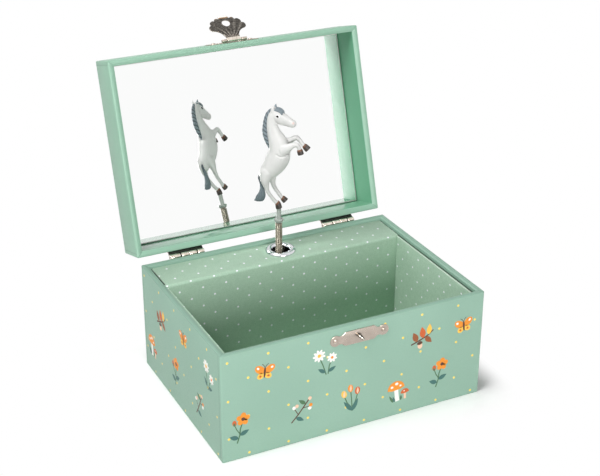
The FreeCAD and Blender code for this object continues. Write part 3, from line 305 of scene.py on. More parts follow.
finishes = {
    "printedPaper": paperFinish("printed paper", printed=True),
    # the box rim and the lid's inner rails take darker tones of the one paper as painted shade, the lid rim
    # a lighter tone as painted light
    "shadedPlainPaper": paperFinish("plain paper", gloss=0.1, tone=coverPaper["shadedRimTone"]),
    "shadedInnerPaper": paperFinish("inner paper", tone=coverPaper["shadedInnerTone"]),
    "wavyPaper": paperFinish("glossy inner paper", gloss=1.0, wave=0.1 * mm, tone=coverPaper["shadedInnerTone"]),
    "edgeShadowLine": paperFinish("folded paper edge", tone=coverPaper["edgeShadowTone"]),
    "litRimPaper": paperFinish("lid rim paper", gloss=0.1, tone=coverPaper["litRimTone"]),
    "wallShade": paperFinish("bare wall behind the lining", tone=coverPaper["wallShadeTone"]),
    "partitionCard": liningFinish("partition card", dotPitch["partition"]),
    "linerCard": liningFinish("liner card", dotPitch["liner"]),
    "cardEdge": cardEdgeFinish(),
    "greyBoard": boardFinish(),
    "mirrorSilver": mirrorFinish(),
    "groundEdge": mouldedFinish("ground glass edge", paint(238, 226, 228), paint(226, 212, 215), 0.3),
    "nickel": metalFinish("nickel plate", paint(206, 194, 182), paint(166, 153, 141), 0.2),
    "plateNickel": metalFinish("smooth nickel", paint(198, 185, 173), paint(182, 169, 158), 0.22, 0.01, 6.0),
    "knuckleNickel": metalFinish("knuckle nickel", paint(240, 232, 220), paint(206, 194, 178),
                                 0.1, 0.01, 2.0),
    # dark nickel painted where shade falls, in the hinge cranks and on the staple's flanks
    "paintedShadeNickel": metalFinish("grimy nickel", paint(56, 62, 55), paint(28, 31, 28), 0.36, 0.03, 1.5),
    # the curled lip of the hasp, painted bright as a highlight
    "lipNickel": metalFinish("rubbed nickel lip", paint(240, 235, 228), paint(212, 203, 190),
                             0.25, 0.03, 1.0),
    # brown strip on the hasp's tab: a painted reflection
    "lipReflection": metalFinish("worn nickel", paint(170, 126, 76), paint(112, 80, 50), 0.3, 0.03, 1.0),
    "stapleWire": metalFinish("staple wire", paint(240, 234, 224), paint(212, 203, 192), 0.1, 0.01),
    # unpolished nickel for the pins, also painted as shade on the hasp flap's underside
    "dullNickelAndShade": metalFinish("unpolished nickel", paint(98, 94, 88), paint(48, 45, 42), 0.32, 0.05, 1.2),
    "chrome": metalFinish("chrome", paint(226, 228, 230), paint(204, 206, 210), 0.08),
    "springSteel": metalFinish("spring steel", paint(172, 165, 151), paint(124, 117, 104), 0.22),
    "brass": metalFinish("brass", paint(214, 178, 96), paint(176, 136, 64), 0.26),
    "zincCasting": metalFinish("zinc casting", paint(168, 170, 172), paint(132, 134, 138), 0.45, 0.06),
    "nylon": mouldedFinish("white nylon", paint(226, 224, 214), paint(206, 204, 194), 0.45),
    "greyPeg": mouldedFinish("grey peg plastic", paint(166, 172, 166), paint(150, 158, 152), 0.3, 0.2, 0.3),
    "horseWhite": tintedFinish("horse paint", "tint", 0.36, 0.06, 3 * mm),
    "hairPaint": tintedFinish("mane paint", "tint", 0.45, 0.2, 0.8 * mm),
    "hoofPaint": tintedFinish("hoof paint", "tint", 0.4, 0.2, 0.6 * mm),
    "eyePaint": tintedFinish("eye paint", "tint", 0.12, 0.0, 1 * mm),
    "printInk": tintedFinish("print inks", "ink", 0.5, 0.12, 0.7 * mm)}
print("finishes ready:", len(finishes))


# Places taken from the frame

weldGap = 1e-6  # corners of the CAD's loose triangles this near are one
levelFace = 0.7  # share of a normal past which its face counts as level or square
midBend = 0.3  # how far in the middle of a rounded edge lies, as a share of its radius


def jointNamed(name):
    return next(joint for joint in frame["joints"] if joint["name"] == name)


def swungAbout(axis, angle):
    # a turn about the line along x through a point
    return Matrix.Translation(axis) @ Matrix.Rotation(angle, 4, "X") @ Matrix.Translation(-axis)


lidJoint = jointNamed("lid_hinge")
lidAxis = Vector(lidJoint["pos_m"])
openAngle = math.radians(lidJoint["range_deg"][1])
lidOpening = swungAbout(lidAxis, -openAngle)


def shellBoxes(node, undo=None):
    # lowest and highest corners of each separate shell of a CAD node, from left to right
    bm = bmesh.new()
    bm.from_mesh(frame["nodes"][node].data)
    if undo is not None:
        bm.transform(undo)
    bmesh.ops.remove_doubles(bm, verts=bm.verts, dist=weldGap)
    boxes = []
    for start in bm.verts:
        if start.tag:
            continue
        start.tag = True
        waiting = [start]
        spots = []
        while waiting:
            vert = waiting.pop()
            spots.append(vert.co.copy())
            for edge in vert.link_edges:
                other = edge.other_vert(vert)
                if not other.tag:
                    other.tag = True
                    waiting.append(other)
        boxes.append((Vector(map(min, zip(*spots))), Vector(map(max, zip(*spots)))))
    bm.free()
    return sorted(boxes, key=lambda pair: tuple(round(value, 6) for value in pair[0]))


def closedBox(node):
    boxes = shellBoxes(node, lidOpening.inverted())
    lows, highs = zip(*boxes)
    return Vector(map(min, zip(*lows))), Vector(map(max, zip(*highs)))


frontLow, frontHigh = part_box("front_panel")
leftLow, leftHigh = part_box("left_panel")
halfWidth = frontHigh.x
halfDepth = -frontLow.y
boxTop = frontHigh.z
wall = leftHigh.x - leftLow.x
railLow, railHigh = closedBox("lid_left_rail")
lidTop = closedBox("lid_top_panel")[1].z
deckLow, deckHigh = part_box("deck_and_partition")
deckTop = deckHigh.z
spindle = Vector(jointNamed("figure_spin")["pos_m"])
print("box", round(halfWidth * 2 / mm, 1), "by", round(halfDepth * 2 / mm, 1), "mm, wall",
      round(wall / mm, 2))


# Mesh helpers

def makePiece(name, bm, *materials):
    mesh = bpy.data.meshes.new(name)
    bm.to_mesh(mesh)
    bm.free()
    for material in materials:
        mesh.materials.append(finishes[material])
    piece = bpy.data.objects.new(name, mesh)
    scene.collection.objects.link(piece)
    return piece


def settle(piece):
    # the evaluated piece becomes its plain mesh
    evaluated = piece.evaluated_get(bpy.context.evaluated_depsgraph_get())
    mesh = bpy.data.meshes.new_from_object(evaluated)
    piece.modifiers.clear()
    old = piece.data
    piece.data = mesh
    bpy.data.meshes.remove(old)
    mesh.name = piece.name
    return piece


def smoothed(piece, angle=35):
    mesh = piece.data
    mesh.shade_smooth()
    mesh.set_sharp_from_angle(angle=math.radians(angle))
    return piece


def fit(piece, body, slot, *nodes):
    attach(piece, body)
    if nodes:
        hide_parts(*nodes)
    return piece


def loft(bm, rings, closed=False, capped=False, bands=None):
    # quads between rings of equal count; bands gives each strip its material slot
    rows = [[bm.verts.new(spot) for spot in ring] for ring in rings]
    count = len(rows[0])
    strips = list(zip(rows, rows[1:]))
    if closed:
        strips.append((rows[-1], rows[0]))
    for index, (lower, upper) in enumerate(strips):
        for k in range(count):
            face = bm.faces.new((lower[k], lower[(k + 1) % count], upper[(k + 1) % count], upper[k]))
            face.material_index = bands[index] if bands else 0
    if capped:
        first = bm.faces.new(list(reversed(rows[0])))
        last = bm.faces.new(rows[-1])
        first.material_index = bands[0] if bands else 0
        last.material_index = bands[-1] if bands else 0
    return rows


def outward(bm):
    bmesh.ops.recalc_face_normals(bm, faces=bm.faces)


def loftPiece(name, rings, finish, closed=False):
    # one lofted solid, capped unless its rings close on themselves
    bm = bmesh.new()
    loft(bm, rings, closed=closed, capped=not closed)
    outward(bm)
    return makePiece(name, bm, finish)


def oneSkin(piece, voxel, softening):
    # what overlaps becomes one even skin, then eased
    remesh = piece.modifiers.new("one skin", "REMESH")
    remesh.mode = "VOXEL"
    remesh.voxel_size = voxel
    ease = piece.modifiers.new("ease", "SMOOTH")
    ease.factor = 0.5
    ease.iterations = softening
    settle(piece).data.materials.clear()


def rectangleRing(halfX, halfY, radius, z, steps=5):
    spots = []
    for signX, signY, start in ((1, 1, 0), (-1, 1, 90), (-1, -1, 180), (1, -1, 270)):
        for step in range(steps + 1):
            angle = math.radians(start + 90 * step / steps)
            x = signX * (halfX - radius) + radius * math.cos(angle)
            y = signY * (halfY - radius) + radius * math.sin(angle)
            spots.append(Vector((x, y, z)))
    return spots


def roundRing(centre, radius, z, steps):
    angles = [2 * math.pi * k / steps for k in range(steps)]
    return [Vector((centre[0] + radius * math.cos(a), centre[1] + radius * math.sin(a), z)) for a in angles]


def layPaper(piece, rule):
    # paper map: counts of dot rows, turned so that both run along the staggered diagonals
    mesh = piece.data
    paper = mesh.uv_layers.new(name="paper")
    for face in mesh.polygons:
        for index in face.loop_indices:
            spot = mesh.vertices[mesh.loops[index].vertex_index].co
            across, along = rule(spot / mm, face.normal)
            paper.data[index].uv = ((across + along) / 2, (across - along) / 2)


def dropped(cutter):
    mesh = cutter.data
    bpy.data.objects.remove(cutter)
    bpy.data.meshes.remove(mesh)


def cutAway(piece, cutter):
    modifier = piece.modifiers.new("hole", "BOOLEAN")
    modifier.object = cutter
    modifier.solver = "EXACT"
    settle(piece)
    dropped(cutter)


def polishedCopy(node, name, material, edge, segments=2, angle=30):
    # a merged copy of the CAD piece with its edges eased
    bm = bmesh.new()
    bm.from_mesh(frame["nodes"][node].data)
    bmesh.ops.remove_doubles(bm, verts=bm.verts, dist=weldGap)
    bmesh.ops.dissolve_limit(bm, angle_limit=math.radians(1.5), verts=bm.verts, edges=bm.edges)
    piece = makePiece(name, bm, material)
    bevel = piece.modifiers.new("eased edges", "BEVEL")
    bevel.width = edge
    bevel.segments = segments
    bevel.limit_method = "ANGLE"
    bevel.angle_limit = math.radians(angle)
    bevel.use_clamp_overlap = False
    return smoothed(settle(piece))


# Camera, light and floor

cameraPlan = {"azimuth": -26.44, "elevation": 25.73, "roll": 0.11, "lens": 78.91, "sensor": 36.0,
              "place": (-0.33659, -0.66299, 0.46017)}


def setCamera():
    azimuth, elevation, roll = (math.radians(cameraPlan[key]) for key in ("azimuth", "elevation", "roll"))
    level = math.cos(elevation)
    back = Vector((math.sin(azimuth) * level, -math.cos(azimuth) * level, math.sin(elevation)))
    right = Vector((0, 0, 1)).cross(back).normalized()
    turn = Matrix((right, back.cross(right), back)).transposed() @ Matrix.Rotation(roll, 3, "Z")
    data = bpy.data.cameras.new("photo camera")
    data.lens = cameraPlan["lens"]
    data.sensor_width = cameraPlan["sensor"]
    camera = bpy.data.objects.new("photoCamera", data)
    camera.matrix_world = Matrix.Translation(cameraPlan["place"]) @ turn.to_4x4()
    scene.collection.objects.link(camera)
    scene.camera = camera


lightPlan = {
    "sky": 0.06, "whiteFrom": 0.027, "aim": (0, 0, 0.06), "floorSize": 2.5,
    # place, size in metres and power of each lamp
    "lamps": [((-0.92, -0.25, 1.6), 0.8, 28.0), ((-0.1, -1.75, 0.45), 0.7, 19.0),
              ((0.1, 1.0, 1.3), 0.8, 5.5)],
    "floorColour": (0.97, 0.97, 0.965, 1), "shadowFrom": 0.005}


def seenDirectly(tree):
    path = addNode(tree, "ShaderNodeLightPath")
    seen = sums(tree, "MAXIMUM", path.outputs["Is Camera Ray"], path.outputs["Is Glossy Ray"])
    return sums(tree, "MAXIMUM", seen, path.outputs["Is Transmission Ray"])


def setLight():
    world = bpy.data.worlds.new("white studio")
    world.use_nodes = True
    scene.world = world
    tree = world.node_tree
    background = tree.nodes["Background"]
    background.inputs["Color"].default_value = (1, 1, 1, 1)
    strength = remap(tree, seenDirectly(tree), 0.0, 1.0, lightPlan["sky"], 1.0)
    tree.links.new(strength, background.inputs["Strength"])
    for index, (place, size, power) in enumerate(lightPlan["lamps"]):
        lamp = bpy.data.lights.new("softbox", "AREA")
        lamp.size = size
        lamp.energy = power
        softbox = bpy.data.objects.new("softbox" + str(index), lamp)
        softbox.location = place
        toward = Vector(lightPlan["aim"]) - Vector(place)
        softbox.rotation_euler = toward.to_track_quat("-Z", "Y").to_euler()
        scene.collection.objects.link(softbox)
    scene.view_settings.view_transform = "Standard"


def setFloor():
    material = bpy.data.materials.new("pale floor")
    material.use_nodes = True
    tree = material.node_tree
    tree.nodes.clear()
    foot = (halfWidth, halfDepth, 0)  # white begins a little way from the box's foot, beyond its shadow
    beyond = vectors(tree, "SUBTRACT", vectors(tree, "ABSOLUTE", objectPlace(tree)), foot)
    away = vectors(tree, "LENGTH", vectors(tree, "MAXIMUM", beyond, (0, 0, 0)))
    spread = remap(tree, away, lightPlan["shadowFrom"], lightPlan["whiteFrom"], 0.0, 1.0, True)
    diffuse = addNode(tree, "ShaderNodeBsdfDiffuse", {"Color": lightPlan["floorColour"]})
    white = addNode(tree, "ShaderNodeEmission", {"Color": (1, 1, 1, 1), "Strength": 1.0})
    share = sums(tree, "MULTIPLY", seenDirectly(tree), spread)
    mixed = addNode(tree, "ShaderNodeMixShader", {0: share, 1: diffuse.outputs[0], 2: white.outputs[0]})
    addNode(tree, "ShaderNodeOutputMaterial", {"Surface": mixed.outputs[0]})
    bm = bmesh.new()
    bmesh.ops.create_grid(bm, x_segments=1, y_segments=1, size=lightPlan["floorSize"])
    mesh = bpy.data.meshes.new("floor")
    bm.to_mesh(mesh)
    bm.free()
    mesh.materials.append(material)
    floor = bpy.data.objects.new("floor", mesh)
    scene.collection.objects.link(floor)


setCamera()
setLight()
setFloor()
print("camera, light and floor set")


# Box walls under one wrap of paper, and the lid's

wrapPlan = {"corner": 0.9 * mm, "rimRound": 0.45 * mm, "innerRound": 0.4 * mm, "fold": 2.3 * mm,
            "foldWidth": 0.3 * mm, "foldStep": 0.15 * mm, "innerDrop": 0.5 * mm, "footRound": 0.5 * mm,
            "lidTopRound": 0.8 * mm, "turnIn": 2.5 * mm, "foldStrip": 4, "leastCorner": 0.25 * mm,
            "seamFromCorner": 2.7 * mm, "seamWidth": 0.3 * mm, "seamHeight": 0.06 * mm,
            "keyBore": 3.2 * mm, "boreSteps": 40}


def wrapRing(inset, z):
    radius = max(wrapPlan["corner"] - inset, wrapPlan["leastCorner"])
    return rectangleRing(halfWidth - inset, halfDepth - inset, radius, z)


def rimProfile(top, up):
    # from the inner wall over the rim to the outer face; up is 1 where the rim faces up and -1 on the lid
    inner = wrapPlan["innerRound"]
    low, edge = top - up * wrapPlan["foldStep"], top - up * wrapPlan["innerDrop"]
    bend = [(inner, inner), (inner * (1 - midBend), inner * midBend), (0, 0)]
    profile = [(wall - inner + a, edge - up * b) for a, b in bend]
    profile += [(wrapPlan["fold"] + wrapPlan["foldWidth"], low), (wrapPlan["fold"], top)]
    rim = wrapPlan["rimRound"]
    profile += [(rim, top), (rim * midBend, top - up * rim * midBend), (0, top - up * rim)]
    return profile


def makeBoxWrap():
    foot = wrapPlan["footRound"]
    profile = [(wall, 0), (wall, boxTop - wrapPlan["turnIn"])] + rimProfile(boxTop, 1)
    profile += [(0, foot), (foot * midBend, foot * midBend), (foot, 0)]
    # strip 0, the inner wall below the liners' tops, is painted dark as shade in the gap behind the lining;
    # the rim strips take the darker paper of painted shade
    bands = [3] + [1] * (len(profile) - 5) + [0, 0, 0, 1]
    bands[wrapPlan["foldStrip"] + 1] = 2  # the narrow strip where the folded paper ends, painted darker as its shadow line
    bm = bmesh.new()
    loft(bm, [wrapRing(inset, z) for inset, z in profile], closed=True, bands=bands)
    outward(bm)
    piece = makePiece("box_wrap", bm, "printedPaper", "shadedPlainPaper", "edgeShadowLine", "wallShade")
    keyJoint = Vector(jointNamed("key_wind")["pos_m"])
    spots = roundRing((keyJoint.x, -keyJoint.z), wrapPlan["keyBore"], 0, wrapPlan["boreSteps"])
    ends = (halfDepth - 2 * wall, halfDepth + wall)
    rings = [[Vector((spot.x, y, -spot.y)) for spot in spots] for y in ends]
    cutAway(piece, loftPiece("key_bore", rings, "greyBoard"))
    layPaper(piece, outsideRows)
    smoothed(piece, 40)
    fit(piece, "box", "covered_board", "front_panel", "back_panel", "left_panel", "right_panel")


def outsideRows(spot, normal):
    # dot rows of the outer print, counted on each side from where its first dot lies
    across, along = dotPitch["cover"]
    frontX, frontZ = firstDot["front"]
    sideY, sideZ = firstDot["side"]
    if abs(normal.z) > levelFace:
        return (spot.x - frontX) / across, spot.y / along
    if abs(normal.x) > abs(normal.y):
        return (sideY - spot.y) / along, (spot.z - sideZ) / along
    return (spot.x - frontX) / across, (spot.z - frontZ) / along


def makeLidWrap():
    rim, ceiling, top = railLow.z, railHigh.z, lidTop
    edge = wrapPlan["lidTopRound"]
    profile = [(wall, ceiling)] + rimProfile(rim, -1)
    profile += [(0, top - edge), (edge * midBend, top - edge * midBend), (edge, top)]
    bands = [2] + [1] * (len(profile) - 3) + [0]
    bm = bmesh.new()
    loft(bm, [wrapRing(inset, z) for inset, z in profile], capped=True, bands=bands)
    outward(bm)
    for face in bm.faces:
        if face.material_index == 2 and face.normal.y > -levelFace:  # only the rail by the hinges is wavy
            face.material_index = 3
    # the lid's inner rails take the darker paper as painted shade, its rim the lighter paper as painted
    # light
    piece = makePiece("lid_wrap", bm, "printedPaper", "litRimPaper", "wavyPaper", "shadedInnerPaper")
    layPaper(piece, outsideRows)
    piece.data.transform(lidOpening)
    smoothed(piece, 40)
    rails = ["lid_" + side + "_rail" for side in ("front", "back", "left", "right")]
    fit(piece, "lid", "covered_board", "lid_top_panel", *rails)


def addStrip(bm, start, end, normal):
    # a narrow raised line of paper edge along a face
    side = normal.cross((end - start).normalized()) * (wrapPlan["seamWidth"] / 2)
    lift = normal * wrapPlan["seamHeight"]
    corners = (-side - lift, side - lift, side + lift, lift - side)
    loft(bm, [[spot + corner for corner in corners] for spot in (start, end)], capped=True)


def seamLines(low, high, rim, up):
    # paper edges up the sides near each corner, and the mitred folds across the rim's corners
    bm = bmesh.new()
    y = halfDepth - wrapPlan["seamFromCorner"]
    fold = wrapPlan["fold"]
    line = [(wall - wrapPlan["innerRound"], rim - up * wrapPlan["innerDrop"]),
            (fold + wrapPlan["foldWidth"], rim - up * wrapPlan["foldStep"]),
            (fold, rim), (wrapPlan["rimRound"], rim)]
    for signX in (-1, 1):
        for signY in (-1, 1):
            start, end = (Vector((signX * halfWidth, signY * y, z)) for z in (low, high))
            addStrip(bm, start, end, Vector((signX, 0, 0)))
            corner = [Vector((signX * (halfWidth - inset), signY * (halfDepth - inset), z))
                      for inset, z in line]
            for start, end in zip(corner, corner[1:]):
                addStrip(bm, start, end, Vector((0, 0, up)))
    outward(bm)
    return bm


def makeSeams():
    # the seams and mitre folds are strips of darker paper standing in for their shadow lines: painted shade
    foot, edge = wrapPlan["footRound"], wrapPlan["lidTopRound"]
    box = makePiece("box_seams", seamLines(foot, boxTop - foot, boxTop, 1), "edgeShadowLine")
    fit(box, "box", "covered_board")
    lid = makePiece("lid_seams", seamLines(railLow.z + foot, lidTop - edge, railLow.z, -1), "edgeShadowLine")
    lid.data.transform(lidOpening)
    fit(lid, "lid", "covered_board")


makeBoxWrap()
makeLidWrap()
makeSeams()
print("paper-covered box and lid made")


# Card lining, tray floor and base

cardPlan = {"edge": 0.22 * mm, "slotWidth": 2.0 * mm, "slotCover": 0.9 * mm, "slotReach": 0.5 * mm,
            "deckStretch": 0.9, "cutFace": 0.6}


def partitionRows(spot, normal):
    # the rows run on from the upright partition over the fold and along the deck
    height = spot.z + cardPlan["deckStretch"] * (spot.y - deckLow.y / mm)
    across, along = dotPitch["partition"]
    firstX, firstZ = firstDot["partition"]
    return (spot.x - firstX) / across, (height - firstZ) / along


def linerRows(spot, normal):
    across, along = dotPitch["liner"]
    firstY, firstZ = firstDot["liner"]
    if abs(normal.z) > levelFace:
        return (spot.y - firstY) / across, spot.x / along
    if abs(normal.x) > abs(normal.y):
        return (spot.y - firstY) / across, (spot.z - firstZ) / along
    return spot.x / across, (spot.z - firstZ) / along


def makeLining():
    # for each piece its card, the rule of its dot rows and the way its cut edges face
    rules = {"deck_and_partition": ("partitionCard", partitionRows, Vector((1, 0, 0))),
             "side_liner_left": ("linerCard", linerRows, Vector((0, 1, 0))),
             "side_liner_right": ("linerCard", linerRows, Vector((0, 0, 1))),
             "front_liner": ("linerCard", linerRows, Vector((0, 0, 1))),
             "tray_floor": ("linerCard", linerRows, Vector((1, 0, 0)))}
    for node, (card, rows, edgeWay) in rules.items():
        piece = polishedCopy(node, node + "_card", card, cardPlan["edge"])
        piece.data.materials.append(finishes["cardEdge"])
        for face in piece.data.polygons:
            face.material_index = 1 if abs(face.normal.dot(edgeWay)) > cardPlan["cutFace"] else 0
        if node == "deck_and_partition":  # the deck's loose side edge leans over the slot beside it
            slotEdge = deckLow.x + cardPlan["slotWidth"]
            for vert in piece.data.vertices:
                if abs(vert.co.x - slotEdge) < cardPlan["slotReach"]:
                    vert.co.x -= cardPlan["slotCover"]
        layPaper(piece, rows)
        fit(piece, "box", "dotted_card", node)
    base = polishedCopy("base_panel", "base_board", "greyBoard", cardPlan["edge"])
    fit(base, "box", "covered_board", "base_panel")


makeLining()
print("card lining made")


# Mirror with ground edges

mirrorPlan = {"chamferWidth": 0.7 * mm, "chamferDepth": 0.5 * mm, "corner": 0.3 * mm}


def makeMirror():
    low, high = closedBox("mirror")
    profile = [(0, high.z), (0, low.z + mirrorPlan["chamferDepth"]), (mirrorPlan["chamferWidth"], low.z)]
    corner = mirrorPlan["corner"]
    rings = [rectangleRing(high.x - inset, high.y - inset, corner, z) for inset, z in profile]
    bm = bmesh.new()
    loft(bm, rings, capped=True, bands=[1, 1])
    outward(bm)
    for face in bm.faces:
        if len(face.verts) > 4:
            face.material_index = 0
    piece = makePiece("mirror_glass", bm, "mirrorSilver", "groundEdge")
    piece.data.transform(lidOpening)
    fit(piece, "lid", "mirror_glass", "mirror")


makeMirror()
print("mirror made")


# Node trees for what repeats

def newTree(name, inputs):
    tree = bpy.data.node_groups.new(name, "GeometryNodeTree")
    tree.interface.new_socket("Geometry", in_out="OUTPUT", socket_type="NodeSocketGeometry")
    for label, kind in inputs:
        tree.interface.new_socket(label, in_out="INPUT", socket_type="NodeSocket" + kind)
    return tree, addNode(tree, "NodeGroupInput").outputs


def endTree(tree, geometry, material):
    # real mesh with its finish, with no instances left
    real = addNode(tree, "GeometryNodeRealizeInstances", {"Geometry": geometry}).outputs[0]
    finished = addNode(tree, "GeometryNodeSetMaterial", {"Geometry": real, "Material": material}).outputs[0]
    addNode(tree, "NodeGroupOutput", {"Geometry": finished})
    return tree


def grow(name, tree, values, base=None):
    mesh = base or bpy.data.meshes.new(name)
    piece = bpy.data.objects.new(name, mesh)
    scene.collection.objects.link(piece)
    modifier = piece.modifiers.new("grow", "NODES")
    modifier.node_group = tree
    for item in tree.interface.items_tree:
        if item.item_type == "SOCKET" and item.in_out == "INPUT" and item.name in values:
            modifier[item.identifier] = values[item.name]
    return settle(piece)


def seatedTree():
    # one fastener set on every seat point
    inputs = [("Seats", "Geometry"), ("Fastener", "Object"), ("Turn", "Vector"), ("Finish", "Material")]
    tree, given = newTree("seated fasteners", inputs)
    shape = addNode(tree, "GeometryNodeObjectInfo", {"Object": given["Fastener"], "As Instance": True})
    feeds = {"Points": given["Seats"], "Instance": shape.outputs["Geometry"], "Rotation": given["Turn"]}
    placed = addNode(tree, "GeometryNodeInstanceOnPoints", feeds)
    return endTree(tree, placed.outputs[0], given["Finish"])


nailPlan = {"headRadius": 1.5 * mm, "headHeight": 0.6 * mm, "shank": 0.55 * mm, "length": 3.0 * mm,
            "steps": 20, "slotWidth": 0.45 * mm, "slotDepth": 0.35 * mm,
            "domeAngles": (0, 18, 36, 54, 72), "rimShare": 0.25}


def domedHead(name, slotted):
    # head above z 0, shank below
    radius, height = nailPlan["headRadius"], nailPlan["headHeight"]
    angles = [math.radians(angle) for angle in nailPlan["domeAngles"]]
    rim = nailPlan["rimShare"]
    profile = [(nailPlan["shank"], -nailPlan["length"]), (nailPlan["shank"], 0)]
    profile.append((radius, 0))
    for angle in angles:
        rise = rim + (1 - rim) * math.sin(angle) / math.sin(angles[-1])
        profile.append((radius * math.cos(angle), height * rise))
    piece = loftPiece(name, [roundRing((0, 0), r, z, nailPlan["steps"]) for r, z in profile], "nickel")
    if slotted:
        half = nailPlan["slotWidth"] / 2
        floor = height - nailPlan["slotDepth"]
        ring = [(-radius * 2, -half), (radius * 2, -half), (radius * 2, half), (-radius * 2, half)]
        rings = [[Vector((x, y, z)) for x, y in ring] for z in (floor, height * 2)]
        cutAway(piece, loftPiece("slot", rings, "nickel"))
    return smoothed(piece, 40)


def makeFasteners():
    tree = seatedTree()
    tack, slotted = domedHead("tack", False), domedHead("screw", True)
    # node, body, the way along y that the heads face, whether on the lid, and the fastener
    groups = [("hinge_box_nails", "box", 1, False, tack), ("hinge_lid_nails", "lid", 1, True, tack),
              ("catch_tacks", "box", -1, False, tack), ("hasp_tacks", "lid", -1, True, tack),
              ("bedplate_screws", "box", 1, False, slotted)]
    for node, body, way, onLid, shape in groups:
        seats = []
        for low, high in shellBoxes(node, lidOpening.inverted() if onLid else None):
            seat = (low + high) / 2
            seat.y = (high.y if way > 0 else low.y) - way * nailPlan["headHeight"]
            seats.append(seat)
        points = bpy.data.meshes.new(node + "_seats")
        points.from_pydata(seats, [], [])
        values = {"Fastener": shape, "Turn": (-way * math.pi / 2, 0, 0), "Finish": finishes["nickel"]}
        piece = grow(node + "_set", tree, values, points)
        if onLid:
            piece.data.transform(lidOpening)
        fit(piece, body, "nickel", node)
    dropped(tack)
    dropped(slotted)


makeFasteners()
print("nails, tacks and screws set")


# Hinge pins, catch plate, hasp plate and key keep the CAD form with eased edges

easedPlan = {"hinge_pins": ("box", "dullNickelAndShade", 0.25 * mm),
             "catch_plate": ("box", "plateNickel", 0.28 * mm),
             "hasp_base_plate": ("lid", "nickel", 0.16 * mm),
             "hasp_pin": ("lid", "dullNickelAndShade", 0.15 * mm),
             "winding_key": ("winding", "nickel", 0.3 * mm)}

for node, (body, finish, edge) in easedPlan.items():
    fit(polishedCopy(node, node + "_eased", finish, edge, 3), body, "nickel", node)

# Hinge leaves, eased too, with rolled knuckles set over the CAD's

hingePlan = {"edge": 0.14 * mm, "crank": 3.7 * mm, "shares": (0.31, 0.48, 0.21), "rolled": 2.08 * mm,
             "gap": 0.75 * mm, "seam": 0.2 * mm, "round": 0.2 * mm, "steps": 32}


def rolledKnuckle(bm, start, end):
    # the sheet rolled round the pin, from start to end along it
    ease, radius = hingePlan["round"], hingePlan["rolled"]
    bend = ease * midBend
    profile = [(start, radius - ease), (start + bend, radius - bend), (start + ease, radius),
               (end - ease, radius), (end - bend, radius - bend), (end, radius - ease)]
    rings = []
    for x, r in profile:
        circle = roundRing(lidAxis.yz, r, 0, hingePlan["steps"])
        rings.append([Vector((x, spot.x, spot.y)) for spot in circle])
    loft(bm, rings, capped=True)


def makeHinges():
    # polished knuckles and plates, with dark nickel painted as shade in the cranks and between the knuckles
    for node, body, slots in (("hinge_box_leaves", "box", (0, 2)), ("hinge_lid_leaves", "lid", (1,))):
        piece = polishedCopy(node, node + "_eased", "nickel", hingePlan["edge"], 3)
        piece.data.materials.append(finishes["paintedShadeNickel"])
        for face in piece.data.polygons:
            away = math.hypot(face.center.y - lidAxis.y, face.center.z - lidAxis.z)
            face.material_index = 1 if away < hingePlan["crank"] else 0
        fit(piece, body, "nickel", node)
        bm = bmesh.new()
        for low, high in shellBoxes(node):
            left, length = low.x, high.x - low.x
            for slot in slots:
                start = left + length * sum(hingePlan["shares"][:slot])
                end = start + length * hingePlan["shares"][slot]
                gap = hingePlan["gap"] / 2
                ends = [start + (gap if slot else 0), end - (gap if slot < 2 else 0)]
                if slot == 1:  # the long middle knuckle shows a seam
                    middle = (start + end) / 2
                    ends[1:1] = [middle - hingePlan["seam"] / 2, middle + hingePlan["seam"] / 2]
                for first, last in zip(ends[::2], ends[1::2]):
                    rolledKnuckle(bm, first, last)
        outward(bm)
        fit(smoothed(makePiece(body + "_knuckles", bm, "knuckleNickel"), 50), body, "nickel")


makeHinges()
print("hinges, plates and key eased")


# Staple of round wire on the catch plate

def tubeAlong(bm, spots, radius, steps=12):
    # round wire along a line of points, closed at both ends
    rings = []
    side = None
    for index, spot in enumerate(spots):
        ahead = spots[min(index + 1, len(spots) - 1)] - spots[max(index - 1, 0)]
        ahead.normalize()
        side = side or ahead.orthogonal().normalized()
        side = (side - ahead * side.dot(ahead)).normalized()
        up = ahead.cross(side)
        angles = [2 * math.pi * k / steps for k in range(steps)]
        rings.append([spot + side * (radius * math.cos(a)) + up * (radius * math.sin(a)) for a in angles])
    loft(bm, rings, capped=True)


staplePlan = {"wire": 0.8 * mm, "loop": 1.75 * mm, "reach": 1.6 * mm, "slant": 45.0, "sunk": 3.0 * mm,
              "steps": 14, "flankFrom": 0.55}


def makeStaple():
    low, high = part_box("catch_staple")
    middle = (low + high) / 2
    middle.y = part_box("catch_plate")[0].y
    slant = math.radians(staplePlan["slant"])
    across = Vector((math.cos(slant), 0, -math.sin(slant))) * staplePlan["loop"]
    out = Vector((0, -1, 0))
    bend = middle + out * staplePlan["reach"]
    spots = [middle - across - out * staplePlan["sunk"], middle - across]
    for step in range(staplePlan["steps"] + 1):
        angle = math.pi * step / staplePlan["steps"]
        spots.append(bend - across * math.cos(angle) + out * (staplePlan["loop"] * math.sin(angle)))
    spots += [middle + across, middle + across - out * staplePlan["sunk"]]
    bm = bmesh.new()
    tubeAlong(bm, spots, staplePlan["wire"])
    outward(bm)
    flank = across.normalized().cross(out)
    for face in bm.faces:  # bright round the loop's outer face, with dark nickel painted as shade on its flanks and inside
        inside = (bend - face.calc_center_median()).dot(face.normal) > 0
        face.material_index = 1 if inside or abs(face.normal.dot(flank)) > staplePlan["flankFrom"] else 0
    piece = makePiece("catch_staple_wire", bm, "stapleWire", "paintedShadeNickel")
    fit(smoothed(piece, 60), "box", "nickel", "catch_staple")


makeStaple()


# Hasp flap: pressed sheet with radial flutes and a bead round its hole; its underside painted dark as shade,
# with painted highlights on the flute crests near the neck

